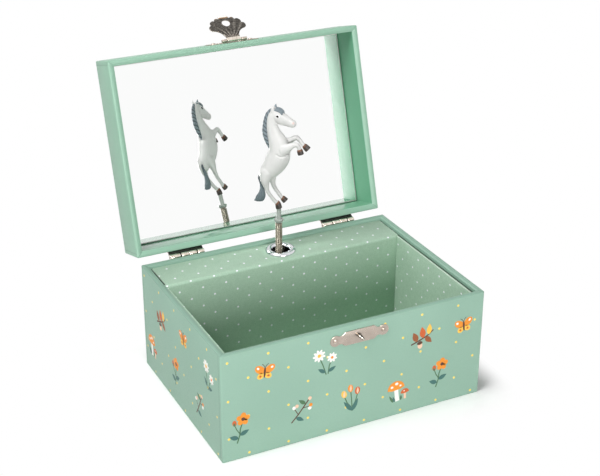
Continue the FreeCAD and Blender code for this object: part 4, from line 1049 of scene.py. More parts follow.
flapPlan = {"voxel": 0.18 * mm, "softening": 3, "raised": 135.0, "pressed": 0.8,
            "flutes": 22, "fluteDepth": 0.22 * mm, "fluteFrom": 2.2 * mm, "fluteFade": 3 * mm,
            "bead": 0.16 * mm, "beadWidth": 0.8 * mm, "beadSoft": 0.5 * mm, "holeRadius": 2.8 * mm,
            "dimple": 0.1 * mm, "dimpleSize": 1.3 * mm, "neckTo": 2.3 * mm, "tabFrom": 20.4 * mm,
            "lipFrom": 21.1 * mm, "highlitTo": 7.0 * mm, "highlitCrest": 0.6, "highlitFall": 0.5}


def makeFlap():
    joint = jointNamed("hasp_swing")
    axis = lidOpening.inverted() @ Vector(joint["pos_m"])
    place = lidOpening @ swungAbout(axis, -math.radians(flapPlan["raised"]))
    plateLow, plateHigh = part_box("catch_plate")
    hole = (plateLow + plateHigh) / 2
    bm = bmesh.new()
    bm.from_mesh(frame["nodes"]["hasp_flap"].data)
    bmesh.ops.remove_doubles(bm, verts=bm.verts, dist=weldGap)
    bm.transform(place.inverted())
    piece = makePiece("hasp_flap_pressed", bm)
    oneSkin(piece, flapPlan["voxel"], flapPlan["softening"])
    mesh = piece.data
    for finish in ("nickel", "dullNickelAndShade", "lipNickel", "lipReflection", "knuckleNickel"):
        mesh.materials.append(finishes[finish])
    for vert in mesh.vertices:
        down = axis.z - vert.co.z
        if abs(vert.normal.y) < 0.5 or down < flapPlan["fluteFrom"] or down > flapPlan["tabFrom"]:
            continue
        across = vert.co.x - hole.x
        turn = math.atan2(across, down)
        fade = min(1.0, (down - flapPlan["fluteFrom"]) / flapPlan["fluteFade"])
        lift = flapPlan["fluteDepth"] * math.cos(turn * flapPlan["flutes"]) * fade
        away = math.hypot(across, vert.co.z - hole.z) - flapPlan["holeRadius"]
        lift += flapPlan["bead"] * math.exp(-((away - flapPlan["beadWidth"]) / flapPlan["beadSoft"]) ** 2)
        lift += flapPlan["dimple"] * noise.noise(vert.co / flapPlan["dimpleSize"])
        vert.co.y -= lift * flapPlan["pressed"]
    for face in mesh.polygons:
        down = axis.z - face.center.z
        ridge = math.cos(math.atan2(face.center.x - hole.x, down) * flapPlan["flutes"])
        # the flutes' crests near the neck keep the bright nickel as painted highlights; the rest of the
        # underside is painted shade
        highlit = ridge > flapPlan["highlitCrest"] + flapPlan["highlitFall"] * down / flapPlan["highlitTo"]
        face.material_index = 1 if face.normal.y > 0.3 and not highlit else 0
        if down <= flapPlan["neckTo"]:
            face.material_index = 4
        # the curled lip is painted bright as a highlight and the strip next to it brown as a painted
        # reflection
        if down > flapPlan["tabFrom"]:
            face.material_index = 2 if down > flapPlan["lipFrom"] else 3
        face.use_smooth = True
    mesh.transform(place)
    fit(piece, "hasp", "nickel", "hasp_flap")


makeFlap()
print("catch and hasp made")


# Grommet, spring stem and peg

grommetPlan = {"outer": 10.15 * mm, "hole": 6.0 * mm, "height": 2.0 * mm, "metal": 0.7 * mm, "steps": 96,
               "rollSteps": 16}


def makeGrommet():
    low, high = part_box("grommet")
    centre = (low + high) / 2
    outer, hole = grommetPlan["outer"], grommetPlan["hole"]
    roll = (outer - hole) / 2
    profile = []
    for step in range(grommetPlan["rollSteps"] + 1):
        angle = math.pi * step / grommetPlan["rollSteps"]
        profile.append((hole + roll + roll * math.cos(angle),
                        deckTop + grommetPlan["height"] * math.sin(angle)))
    inner = hole + grommetPlan["metal"]
    profile += [(hole, low.z), (inner, low.z), (inner, deckTop)]
    rings = [roundRing(centre, r, z, grommetPlan["steps"]) for r, z in profile]
    fit(smoothed(loftPiece("grommet_ring", rings, "chrome", closed=True), 40), "box", "chrome", "grommet")


stemPlan = {"wire": 0.39 * mm, "outer": 2.35 * mm, "pitch": 0.82 * mm, "bendFrom": 2.0 * mm,
            "bendTo": 14.0 * mm, "turnSteps": 32, "wireSteps": 8}


def coilTree():
    inputs = [("Coil Radius", "Float"), ("Wire Radius", "Float"), ("Turns", "Float"), ("Height", "Float"),
              ("Finish", "Material")]
    tree, given = newTree("spring coil", inputs)
    feeds = {"Resolution": stemPlan["turnSteps"], "Rotations": given["Turns"], "Height": given["Height"],
             "Start Radius": given["Coil Radius"], "End Radius": given["Coil Radius"]}
    spiral = addNode(tree, "GeometryNodeCurveSpiral", feeds)
    feeds = {"Resolution": stemPlan["wireSteps"], "Radius": given["Wire Radius"]}
    section = addNode(tree, "GeometryNodeCurvePrimitiveCircle", feeds)
    feeds = {"Curve": spiral.outputs[0], "Profile Curve": section.outputs[0], "Fill Caps": True}
    wire = addNode(tree, "GeometryNodeCurveToMesh", feeds)
    soft = addNode(tree, "GeometryNodeSetShadeSmooth", {"Geometry": wire.outputs[0]})
    return endTree(tree, soft.outputs[0], given["Finish"])


def makeStem():
    low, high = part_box("spring_stem")
    wire = stemPlan["wire"]
    height = high.z - low.z - 2 * wire
    values = {"Coil Radius": stemPlan["outer"] - wire, "Wire Radius": wire, "Height": height,
              "Turns": height / stemPlan["pitch"], "Finish": finishes["springSteel"]}
    piece = grow("spring_stem_coil", coilTree(), values)
    piece.data.transform(Matrix.Translation((spindle.x, spindle.y, low.z + wire)))
    bm = bmesh.new()
    bm.from_mesh(piece.data)
    outward(bm)
    bm.to_mesh(piece.data)
    bm.free()
    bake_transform(piece)
    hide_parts("spring_stem")


pegPlan = {"spigot": 0.9 * mm, "coil": 2.35 * mm, "collar": 3.1 * mm, "peg": 1.6 * mm,
           "coneHeight": 1.0 * mm, "collarHeight": 1.4 * mm, "ease": 0.25 * mm, "stemTop": 21.0 * mm,
           "coneEase": 0.4, "steps": 40}


def makePeg():
    low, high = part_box("figure_peg")
    seat = deckTop + pegPlan["stemTop"]
    shoulder = seat + pegPlan["coneHeight"]
    top = shoulder + pegPlan["collarHeight"]
    ease, collar, peg = pegPlan["ease"], pegPlan["collar"], pegPlan["peg"]
    bend = ease * midBend
    profile = [(pegPlan["spigot"], low.z), (pegPlan["spigot"], seat), (pegPlan["coil"], seat),
               (collar - ease, shoulder - ease * pegPlan["coneEase"]), (collar, shoulder + ease),
               (collar, top - ease), (collar - bend, top - bend), (collar - ease, top), (peg + ease, top),
               (peg + bend, top + bend), (peg, top + ease), (peg, high.z)]
    rings = [roundRing(spindle, r, z, pegPlan["steps"]) for r, z in profile]
    piece = smoothed(loftPiece("figure_peg_turned", rings, "greyPeg"), 40)
    fit(piece, "figure", "grey_plastic", "figure_peg")


makeGrommet()
makeStem()
makePeg()
print("grommet, spring stem and peg made")


# Rearing horse, in mm. A station gives its forward, near-side and upward place,
# then its half width in profile and sideways

horsePlan = {
    "heading": -33.0, "sides": 24, "fill": 6, "voxel": 0.28 * mm, "softening": 7,
    "trunk": [(-9.6, 0, 51.6, 2.9, 2.7), (-8.3, 0, 54.6, 4.9, 4.6), (-4.9, 0, 58.9, 6.5, 5.8),
              (-2.1, 0, 63.0, 7.4, 6.3), (-0.1, 0, 67.2, 7.7, 6.5), (0.8, 0, 71.6, 7.0, 6.3),
              (0.2, 0, 76.0, 6.3, 5.6), (-0.9, 0, 79.2, 5.8, 4.8), (-2.7, 0, 83.7, 4.6, 3.7),
              (-4.0, 0, 88.6, 3.7, 2.9), (-3.9, 0, 94.0, 3.3, 2.6), (-2.6, 0, 98.6, 2.3, 2.0),
              (-2.3, 0, 99.8, 1.6, 1.5)],
    "head": [(-2.8, 0, 98.4, 2.4, 2.1), (-1.0, 0, 96.4, 4.0, 2.9), (2.0, 0, 93.7, 4.3, 2.9),
             (5.4, 0, 92.2, 3.6, 2.3), (8.0, 0, 90.9, 3.0, 2.15), (9.0, 0, 90.5, 2.75, 2.05)],
    "foreNear": [(3.0, 3.0, 73.6, 4.7, 3.5), (6.8, 3.5, 75.3, 2.9, 2.4), (9.8, 3.6, 77.1, 1.9, 1.75),
                 (12.3, 3.5, 77.4, 1.6, 1.5), (13.7, 3.3, 75.7, 1.35, 1.3), (14.1, 3.2, 74.2, 1.4, 1.35)],
    "foreFar": [(2.6, -3.0, 75.6, 4.2, 3.2), (7.1, -3.4, 77.5, 2.2, 2.0), (9.8, -3.6, 79.2, 1.75, 1.6),
                (11.9, -3.5, 79.5, 1.6, 1.5), (14.3, -3.4, 76.9, 1.35, 1.3), (15.8, -3.3, 74.8, 1.35, 1.3)],
    "hindNear": [(-7.2, 2.8, 57.0, 4.6, 3.3), (-8.2, 3.0, 51.6, 3.2, 2.6), (-7.5, 2.4, 46.0, 1.6, 1.6),
                 (-6.7, 2.1, 43.2, 1.3, 1.35), (-4.6, 1.3, 39.4, 1.25, 1.25), (-2.6, 0.6, 36.4, 1.3, 1.3),
                 (-1.2, 0.1, 34.9, 1.4, 1.35)],
    "hindFar": [(-5.8, -3.0, 57.0, 4.4, 3.1), (-4.8, -3.1, 52.4, 3.0, 2.5), (-4.2, -3.4, 47.4, 1.7, 1.7),
                (-2.7, -3.4, 43.5, 1.35, 1.4), (-0.6, -3.4, 40.4, 1.25, 1.3), (1.4, -3.4, 37.4, 1.35, 1.3),
                (1.9, -3.4, 36.8, 1.4, 1.35)],
    "earNear": [(-3.5, 1.4, 98.6, 1.2, 0.9), (-3.0, 1.7, 101.2, 1.0, 0.7), (-2.4, 1.9, 103.0, 0.3, 0.3)],
    "earFar": [(-2.4, -1.4, 98.6, 1.2, 0.9), (-2.0, -1.7, 100.9, 1.0, 0.7), (-1.6, -1.9, 102.7, 0.3, 0.3)],
    "hooves": [[(14.0, 3.2, 74.4, 1.45, 1.4), (14.3, 3.2, 73.4, 1.95, 1.85), (14.9, 3.2, 71.0, 2.05, 1.95)],
               [(15.9, -3.3, 74.7, 1.4, 1.35), (16.9, -3.3, 73.9, 1.95, 1.8), (18.9, -3.3, 71.9, 2.2, 2.0)],
               [(-1.3, 0.1, 35.3, 1.45, 1.4), (-0.6, 0, 34.2, 1.95, 1.85), (0.2, 0, 31.1, 2.15, 2.0)],
               [(1.7, -3.4, 37.2, 1.45, 1.4), (2.5, -3.4, 36.6, 1.9, 1.8), (4.2, -3.4, 34.9, 2.1, 1.95)]],
    "tail": [(-12.4, 0, 54.0, 0.5, 0.6), (-12.7, 0, 51.6, 0.75, 0.8), (-11.4, 0, 47.4, 0.95, 1.1),
             (-10.9, 0, 43.4, 1.6, 1.5), (-11.2, 0, 39.6, 2.6, 1.7), (-12.5, 0, 36.9, 2.7, 1.3),
             (-12.5, 0, 35.3, 2.0, 0.5)],
    "tailTip": [(-11.8, 0, 40.2, 1.3, 0.9), (-13.5, 0, 37.6, 1.3, 0.9), (-15.2, 0, 36.2, 0.8, 0.6),
                (-16.3, 0, 35.8, 0.15, 0.15)],
    "shoulder": [(-0.3, 70.8), (1.3, 69.8), (3.6, 69.5), (5.9, 69.9), (7.7, 71.9), (8.3, 73.8)],
    "creaseWidth": 0.6, "creaseDepth": 0.5, "creaseSide": 2.5, "creaseMiddle": (4.0, 71.5),
    "creaseReach": (6.0, 4.0),
    "mane": [(-4.9, 0, 99.2, 0.9, 0.9), (-6.6, 0, 96.3, 1.5, 1.3), (-7.7, 0, 92.6, 1.7, 1.5),
             (-8.3, 0, 88.6, 1.8, 1.6), (-8.5, 0, 84.6, 1.95, 1.6), (-7.8, 0, 80.2, 1.8, 1.5),
             (-6.5, 0, 76.0, 1.3, 1.2), (-5.4, 0, 72.6, 0.5, 0.5)],
    "maneLocks": 11, "maneSlant": 0.55, "maneDepth": 0.16, "maneSides": 48, "maneFill": 14,
    "forelock": [[(-2.6, 1.0, 99.8, 1.0, 0.9), (0.2, 1.3, 99.4, 1.2, 1.0), (2.2, 1.6, 98.0, 1.0, 0.9),
                  (2.4, 1.9, 96.2, 0.3, 0.3)],
                 [(-2.6, -0.2, 100.2, 1.0, 0.9), (0.6, 0.0, 100.0, 1.2, 1.0), (3.0, 0.2, 98.6, 1.0, 0.9),
                  (3.9, 0.4, 97.0, 0.3, 0.3)],
                 [(-2.6, -1.4, 99.8, 1.0, 0.9), (0.2, -1.5, 99.4, 1.2, 1.0), (2.2, -1.7, 98.0, 1.0, 0.8),
                  (2.4, -1.9, 96.4, 0.3, 0.3)]],
    "nostril": (9.9, 1.8, 91.4), "nostrilSize": 1.1, "greyEar": (0.8, 100.6),
    "hoofSides": 20, "hoofFill": 4, "coronetFrom": 1.5, "coronetFade": 0.9,
    "tailDarkFrom": 47, "tailFade": 8,
    "eye": (0.1, 2.75, 96.0), "eyeLean": 32, "eyeWhite": (1.5, 0.4, 1.0), "eyeBlack": (1.0, 0.55, 0.75),
    "pupilShift": (-0.15, 0.1), "eyeSegments": (20, 12), "domeTilts": (0.0, 20.0, 40.0, 60.0, 80.0),
    "eyeDark": paint(18, 16, 16), "eyeLight": paint(240, 240, 240), "underShadeBelow": 0.5, "pinkStrength": 1.5,
    "hoofGrain": 0.9, "hoofWear": 1.4, "tailRidges": 7, "tipRidges": 4, "tailRidgeDepth": 0.1,
    "maneCrest": 0.6, "maneDarkTo": 0.45, "maneFade": 0.35, "lockRidges": 5, "lockRidgeDepth": 0.08,
    "lockShade": 0.12,
    "white": paint(211, 211, 209), "underShade": paint(196, 194, 191), "hair": paint(126, 138, 144),
    "hairDark": paint(66, 74, 80), "tailHair": paint(102, 115, 120), "hoof": paint(58, 52, 48),
    "coronet": paint(124, 84, 60), "hoofWorn": paint(98, 92, 88), "pink": paint(212, 186, 178)}


def figurePlace():
    heading = Matrix.Rotation(math.radians(horsePlan["heading"]), 4, "Z")
    return Matrix.Translation((spindle.x, spindle.y, deckTop)) @ heading


def between(t, a, b, c, d):
    # smooth curve from b to c, with a and d beyond them
    second, third = 2 * a - 5 * b + 4 * c - d, 3 * b - a - 3 * c + d
    return 0.5 * (2 * b + (c - a) * t + second * t * t + third * t ** 3)


def flowing(stations, fill):
    # more stations on a smooth line through the given ones
    last = len(stations) - 1
    result = []
    for index in range(last):
        near = [stations[min(max(index + k, 0), last)] for k in (-1, 0, 1, 2)]
        for step in range(fill):
            result.append([between(step / fill, *values) for values in zip(*near)])
    return result + [list(stations[last])]


def limbRings(stations, sides, fill, ridges=0, ridgeDepth=0.0, domed=True):
    line = flowing(stations, fill)
    spots = [Vector((station[0], -station[1], station[2])) * mm for station in line]
    domeTilts = horsePlan["domeTilts"]
    rings = []
    for index, station in enumerate(line):
        ahead = (spots[min(index + 1, len(spots) - 1)] - spots[max(index - 1, 0)]).normalized()
        profile = Vector((0, 1, 0)).cross(ahead).normalized()
        across = ahead.cross(profile)
        steps = [0.0]
        if domed and index == 0:
            steps = [-tilt for tilt in reversed(domeTilts)]
        elif domed and index == len(line) - 1:
            steps = domeTilts
        for tilt in steps:
            lean = math.radians(tilt)
            centre = spots[index] + ahead * (station[3] * mm * math.sin(lean))
            shrink = math.cos(lean)
            ring = []
            for k in range(sides):
                angle = 2 * math.pi * k / sides
                swell = shrink * (1 + ridgeDepth * math.cos(ridges * angle)) * mm
                upright = profile * (station[3] * swell * math.cos(angle))
                ring.append(centre + upright + across * (station[4] * swell * math.sin(angle)))
            rings.append(ring)
    return rings


def addLimb(bm, stations, **settings):
    loft(bm, limbRings(stations, horsePlan["sides"], horsePlan["fill"], **settings), capped=True)


def tintPiece(piece, rule):
    mesh = piece.data
    layer = mesh.color_attributes.new("tint", "FLOAT_COLOR", "POINT")
    for vert in mesh.vertices:
        layer.data[vert.index].color = rule(vert.co / mm, vert.normal)
    return piece


def blendPaint(first, second, share):
    share = min(max(share, 0.0), 1.0)
    return tuple(a + (b - a) * share for a, b in zip(first, second))


def onFigure(piece, *nodes):
    piece.data.transform(figurePlace())
    for face in piece.data.polygons:
        face.use_smooth = True
    return fit(piece, "figure", "horse_plastic", *nodes)


def besideShoulder(forward, up):
    # distance from the moulded crease round the shoulder, in mm
    line = [Vector(spot) for spot in horsePlan["shoulder"]]
    spot = Vector((forward, up))
    least = 99.0
    for start, end in zip(line, line[1:]):
        run = end - start
        share = min(max((spot - start).dot(run) / run.length_squared, 0.0), 1.0)
        least = min(least, (spot - start - run * share).length)
    return least


def pressCrease(mesh):
    middleF, middleUp = horsePlan["creaseMiddle"]
    reachF, reachUp = horsePlan["creaseReach"]
    for vert in mesh.vertices:
        f, s, up = vert.co / mm
        beside = abs(f - middleF) < reachF and abs(up - middleUp) < reachUp
        if beside and abs(s) > horsePlan["creaseSide"]:
            near = math.exp(-(besideShoulder(f, up) / horsePlan["creaseWidth"]) ** 2)
            vert.co -= vert.normal * (near * horsePlan["creaseDepth"] * mm)


def makeHorseBody():
    bm = bmesh.new()
    for limb in ("trunk", "head", "foreNear", "foreFar", "hindNear", "hindFar", "earNear", "earFar"):
        addLimb(bm, horsePlan[limb])
    outward(bm)
    piece = makePiece("horse_body", bm, "horseWhite")
    oneSkin(piece, horsePlan["voxel"], horsePlan["softening"])
    piece.data.materials.append(finishes["horseWhite"])
    pressCrease(piece.data)
    f, s, up = horsePlan["nostril"]
    nostrils = [Vector((f, side * s, up)) for side in (1, -1)]
    earSide, earUp = horsePlan["greyEar"]

    def rule(spot, normal):
        if spot.y > earSide and spot.z > earUp:
            return horsePlan["hair"]
        pinkness = 1 - min((spot - place).length for place in nostrils) / horsePlan["nostrilSize"]
        # undersides blend towards the darker tone: painted shade
        plain = blendPaint(horsePlan["white"], horsePlan["underShade"], -normal.z * horsePlan["underShadeBelow"])
        return blendPaint(plain, horsePlan["pink"], pinkness * horsePlan["pinkStrength"])
    onFigure(tintPiece(piece, rule), "horse_figure")


def makeHooves():
    bm = bmesh.new()
    for stations in horsePlan["hooves"]:
        rings = limbRings(stations, horsePlan["hoofSides"], horsePlan["hoofFill"], domed=False)
        loft(bm, rings, capped=True)
    outward(bm)
    piece = makePiece("horse_hooves", bm, "hoofPaint")
    tops = [Vector((s[0][0], -s[0][1], s[0][2])) for s in horsePlan["hooves"]]

    def rule(spot, normal):
        away = min((spot - top).length for top in tops) - horsePlan["coronetFrom"]
        wear = noise.noise(spot * horsePlan["hoofGrain"]) * horsePlan["hoofWear"]
        worn = blendPaint(horsePlan["hoof"], horsePlan["hoofWorn"], wear)
        return blendPaint(horsePlan["coronet"], worn, away / horsePlan["coronetFade"])
    onFigure(smoothed(tintPiece(piece, rule), 40))


def makeTail():
    bm = bmesh.new()
    depth = horsePlan["tailRidgeDepth"]
    addLimb(bm, horsePlan["tail"], ridges=horsePlan["tailRidges"], ridgeDepth=depth, domed=False)
    addLimb(bm, horsePlan["tailTip"], ridges=horsePlan["tipRidges"], ridgeDepth=depth, domed=False)
    outward(bm)
    piece = makePiece("horse_tail", bm, "hairPaint")

    def rule(spot, normal):
        dark = (spot.z - horsePlan["tailDarkFrom"]) / horsePlan["tailFade"]
        return blendPaint(horsePlan["tailHair"], horsePlan["hairDark"], dark)
    onFigure(tintPiece(piece, rule))


def makeMane():
    # one crest of hair with slanting locks pressed into it, dark in the grooves
    sides = horsePlan["maneSides"]
    rings = limbRings(horsePlan["mane"], sides, horsePlan["maneFill"])
    shades = []
    for index, ring in enumerate(rings):
        centre = sum(ring, Vector()) / sides
        row = []
        for k, spot in enumerate(ring):
            angle = 2 * math.pi * k / sides
            phase = horsePlan["maneLocks"] * index / len(rings) + horsePlan["maneSlant"] * math.cos(angle)
            ridge = abs(math.sin(math.pi * phase)) ** horsePlan["maneCrest"]
            ring[k] = centre + (spot - centre) * (1 - horsePlan["maneDepth"] * (1 - ridge))
            row.append(ridge)
        shades.append(row)
    bm = bmesh.new()
    rows = loft(bm, rings, capped=True)
    bm.verts.index_update()
    shade = {vert.index: value for row, values in zip(rows, shades) for vert, value in zip(row, values)}
    outward(bm)
    piece = makePiece("horse_mane", bm, "hairPaint")
    layer = piece.data.color_attributes.new("tint", "FLOAT_COLOR", "POINT")
    for index, value in shade.items():
        share = (value - horsePlan["maneDarkTo"]) / horsePlan["maneFade"]
        layer.data[index].color = blendPaint(horsePlan["hairDark"], horsePlan["hair"], share)
    onFigure(piece)
    bm = bmesh.new()
    for stations in horsePlan["forelock"]:
        addLimb(bm, stations, ridges=horsePlan["lockRidges"], ridgeDepth=horsePlan["lockRidgeDepth"])
    outward(bm)
    piece = makePiece("horse_forelock", bm, "hairPaint")
    tone = blendPaint(horsePlan["hair"], horsePlan["hairDark"], horsePlan["lockShade"])
    tintPiece(piece, lambda spot, normal: tone)
    onFigure(piece)


def makeEyes():
    bm = bmesh.new()
    f, s, up = horsePlan["eye"]
    lean = Matrix.Rotation(math.radians(horsePlan["eyeLean"]), 4, "Y")
    around, rows = horsePlan["eyeSegments"]
    balls = ((horsePlan["eyeWhite"], 0.0, 0.0), (horsePlan["eyeBlack"], *horsePlan["pupilShift"]))
    black = set()
    for side in (1, -1):
        for size, ahead, out in balls:
            place = Matrix.Translation(Vector((f + ahead, -(s + out) * side, up)) * mm)
            shape = place @ lean @ Matrix.Diagonal((*(v * mm for v in size), 1))
            made = bmesh.ops.create_uvsphere(bm, u_segments=around, v_segments=rows, radius=1, matrix=shape)
            if size is horsePlan["eyeBlack"]:
                bm.verts.index_update()
                black.update(vert.index for vert in made["verts"])
    outward(bm)
    piece = makePiece("horse_eyes", bm, "eyePaint")
    layer = piece.data.color_attributes.new("tint", "FLOAT_COLOR", "POINT")
    for vert in piece.data.vertices:
        layer.data[vert.index].color = horsePlan["eyeDark" if vert.index in black else "eyeLight"]
    onFigure(piece)


makeHorseBody()
makeHooves()
makeTail()
makeMane()
makeEyes()
print("horse made")


# Printed motifs: flowers, toadstools, twigs and butterflies scattered over the paper in flat inks

inks = {"orange": paint(238, 146, 46), "amber": paint(248, 196, 82), "brown": paint(150, 88, 52),
        "bark": paint(92, 62, 48), "white": paint(246, 244, 238), "teal": paint(66, 110, 104),
        "moss": paint(80, 116, 84), "peach": paint(242, 200, 170), "rust": paint(204, 98, 48)}


def oval(x, y, a, b, turn=0.0, steps=14):
    lean = math.radians(turn)
    spots = []
    for k in range(steps):
        angle = 2 * math.pi * k / steps
        u, v = a * math.cos(angle), b * math.sin(angle)
        spots.append((x + u * math.cos(lean) - v * math.sin(lean),
                      y + u * math.sin(lean) + v * math.cos(lean)))
    return spots


leafPlan = {"steps": 6, "belly": 0.8}


def leafShape(x, y, tipX, tipY, width):
    # pointed leaf from its stalk to its tip
    alongX, alongY = tipX - x, tipY - y
    length = math.hypot(alongX, alongY)
    sideX, sideY = -alongY / length, alongX / length
    shares = [k / leafPlan["steps"] for k in range(leafPlan["steps"] + 1)]
    bulge = [width * math.sin(math.pi * t ** leafPlan["belly"]) for t in shares]
    right = [(t, -out) for t, out in zip(shares, bulge)]
    left = list(zip(shares, bulge))[-2:0:-1]
    return [(x + alongX * t + sideX * w, y + alongY * t + sideY * w) for t, w in right + left]


def stalk(spots, width):
    # a line of ink of even width
    left, right = [], []
    for k, (x, y) in enumerate(spots):
        aheadX = spots[min(k + 1, len(spots) - 1)][0] - spots[max(k - 1, 0)][0]
        aheadY = spots[min(k + 1, len(spots) - 1)][1] - spots[max(k - 1, 0)][1]
        size = math.hypot(aheadX, aheadY) / (width / 2)
        left.append((x - aheadY / size, y + aheadX / size))
        right.append((x + aheadY / size, y - aheadX / size))
    return right + left[::-1]


bloomPlan = {"turn": 18, "petalSteps": 12, "heartSteps": 10, "heartShare": 0.55}


def bloom(x, y, reach, petal, count, ink, heart, layer):
    shapes = []
    for k in range(count):
        turn = 360 * k / count + bloomPlan["turn"]
        u, v = math.cos(math.radians(turn)), math.sin(math.radians(turn))
        shape = oval(x + u * reach, y + v * reach, reach, petal, turn, bloomPlan["petalSteps"])
        shapes.append((layer + k % 2, ink, shape))
    middle = reach * bloomPlan["heartShare"]
    return shapes + [(layer + 2, heart, oval(x, y, middle, middle, 0, bloomPlan["heartSteps"]))]


def poppy():
    shapes = [(1, "moss", stalk([(-1, -9), (0.2, -4), (0.2, 0), (1.2, 4)], 0.8)),
              (1, "moss", stalk([(0.2, -3), (-2, 0), (-3.4, 3)], 0.6)),
              (2, "teal", leafShape(0.2, -4, 5.6, -1.2, 1.5)),
              (2, "teal", leafShape(-0.4, -6, -6, -4.2, 1.5)),
              (2, "rust", oval(-3.6, 4.2, 1.3, 1.9, 12)), (3, "moss", leafShape(-3.3, 2.2, -4.0, 4.6, 0.7))]
    return shapes + bloom(1.4, 6.2, 2.1, 1.7, 5, "orange", "bark", 3)


def toadstools():
    angles = [math.pi * k / 12 for k in range(13)]
    cap = [(5.6 * math.cos(a), 5.2 * math.sin(a)) for a in angles] + [(-2.6, -0.9), (2.6, -0.9)]
    small = [(5.6 + x * 0.5, -4.4 + y * 0.5) for x, y in cap]
    return [(1, "white", stalk([(0.4, -8.6), (0.1, -4), (0, 0.6)], 2.6)),
            (1, "peach", stalk([(5.4, -8.6), (5.6, -4.2)], 1.5)),
            (2, "orange", cap), (2, "rust", small),
            (3, "white", oval(-2.6, 1.8, 0.9, 0.8)), (3, "white", oval(0.6, 3.3, 1.1, 0.9)),
            (3, "white", oval(3.0, 1.3, 0.7, 0.6)), (3, "white", oval(5.2, -3.2, 0.5, 0.4)),
            (2, "moss", leafShape(-2.4, -8.8, -4.8, -3.4, 0.8)),
            (3, "teal", leafShape(-1.6, -8.8, -2.4, -4.6, 0.7)),
            (3, "moss", leafShape(2.6, -8.8, 3.0, -5.0, 0.7))]


def daisies():
    shapes = [(1, "moss", stalk([(-0.6, -9), (-1.6, -3), (-3, 3)], 0.7)),
              (1, "moss", stalk([(0.6, -9), (2, -4), (4, -0.6)], 0.7)),
              (2, "teal", leafShape(-0.8, -7.6, -5, -3.6, 1.2)),
              (2, "teal", leafShape(0.8, -7.6, 6, -5.8, 1.2))]
    shapes += bloom(-3.2, 4.6, 2.0, 0.85, 9, "white", "amber", 2)
    return shapes + bloom(4.4, 0.6, 1.6, 0.75, 8, "white", "orange", 2)


def butterfly():
    shapes = []
    for side in (-1, 1):
        shapes += [(1, "orange", oval(side * 3.0, 2.0, 3.4, 2.3, side * 35)),
                   (1, "amber", oval(side * 2.2, -2.0, 2.3, 1.8, side * -30)),
                   (2, "white", oval(side * 4.2, 2.9, 0.9, 0.7, side * 35, 8)),
                   (2, "rust", oval(side * 2.4, -2.2, 0.8, 0.7, 0, 8)),
                   (2, "bark", stalk([(0, 3.0), (side * 0.9, 4.6), (side * 1.9, 5.4)], 0.35))]
    return shapes + [(3, "bark", oval(0, 0, 0.65, 3.4, 0, 12))]


def oakTwig():
    return [(1, "bark", stalk([(-7.5, -4.4), (-2, -2.6), (3, -0.6), (7, 2.4)], 0.9)),
            (2, "brown", leafShape(-3.6, -3.1, -6.4, 3.4, 1.9)),
            (2, "rust", leafShape(0.4, -1.6, -0.8, 6.0, 2.0)), (2, "amber", leafShape(4, 0, 4.4, 7.0, 1.7)),
            (2, "brown", leafShape(1.6, -1.0, 6.2, -5.6, 1.7)), (2, "peach", oval(-1.6, -6.0, 1.6, 2.2, 8)),
            (3, "bark", oval(-1.8, -4.4, 1.9, 1.1, 8)),
            (1, "bark", stalk([(-1.6, -2.4), (-1.7, -4.2)], 0.5))]


def tulips():
    shapes = []
    for x, y, ink, lean in ((-4, 3.2, "amber", 1.6), (0.4, 5.6, "orange", 0), (4.6, 2.6, "rust", -1.6)):
        shapes += [(1, "moss", stalk([(lean * 0.2, -9), (x * 0.7, -2), (x, y - 1)], 0.7)),
                   (2, ink, oval(x, y + 0.6, 1.7, 2.5, lean * 6)),
                   (3, "peach", leafShape(x - 0.2, y - 1.6, x + 0.5, y + 3.0, 0.7))]
    return shapes + [(2, "teal", leafShape(0, -9, -4.8, -1.0, 1.4)),
                     (3, "teal", leafShape(0, -9, 4.4, -2.0, 1.4))]


def berries():
    shapes = [(1, "bark", stalk([(-5, -7), (-1.4, -2), (1, 2), (4, 7)], 0.8)),
              (1, "bark", stalk([(-1.4, -2), (-4, 1.6)], 0.5)),
              (1, "bark", stalk([(1, 2), (5, 2.6)], 0.5)),
              (2, "teal", leafShape(-2.6, -3.8, 2.8, -6.2, 1.3)),
              (2, "moss", leafShape(2.4, 4.4, -2.4, 7.4, 1.2))]
    for x, y, ink in ((-4.6, 2.6, "white"), (-3.0, 3.6, "peach"), (5.8, 3.4, "orange"), (5.4, 1.4, "white"),
                      (4.6, 7.8, "peach")):
        shapes.append((3, ink, oval(x, y, 1.15, 1.15, 0, 10)))
    return shapes


printPlan = {"layer": 0.018 * mm, "sunk": 0.06 * mm, "size": 1.08, "seed": 7, "lean": 0.16,
             "nextMotif": 3.0, "jitter": (5 * mm, 3 * mm, 0)}


def motifPiece(name, shapes):
    # each shape is a thin closed plate, a hair higher than the one it is printed over
    bm = bmesh.new()
    ink = bm.loops.layers.float_color.new("ink")
    for layer, colour, outline in shapes:
        low = [bm.verts.new((x * mm, y * mm, -printPlan["sunk"])) for x, y in outline]
        top = [bm.verts.new((x * mm, y * mm, printPlan["layer"] * layer)) for x, y in outline]
        count = len(outline)
        faces = [bm.faces.new(top), bm.faces.new(low[::-1])]
        faces += [bm.faces.new((low[k], low[(k + 1) % count], top[(k + 1) % count], top[k]))
                  for k in range(count)]
        for face in faces:
            for loop in face.loops:
                loop[ink] = inks[colour]
    outward(bm)
    return makePiece(name, bm, "printInk")


def randomVector(tree, least, most, seed):
    feeds = {0: least, 1: most, "Seed": seed}
    return addNode(tree, "FunctionNodeRandomValue", feeds, data_type="FLOAT_VECTOR").outputs[0]


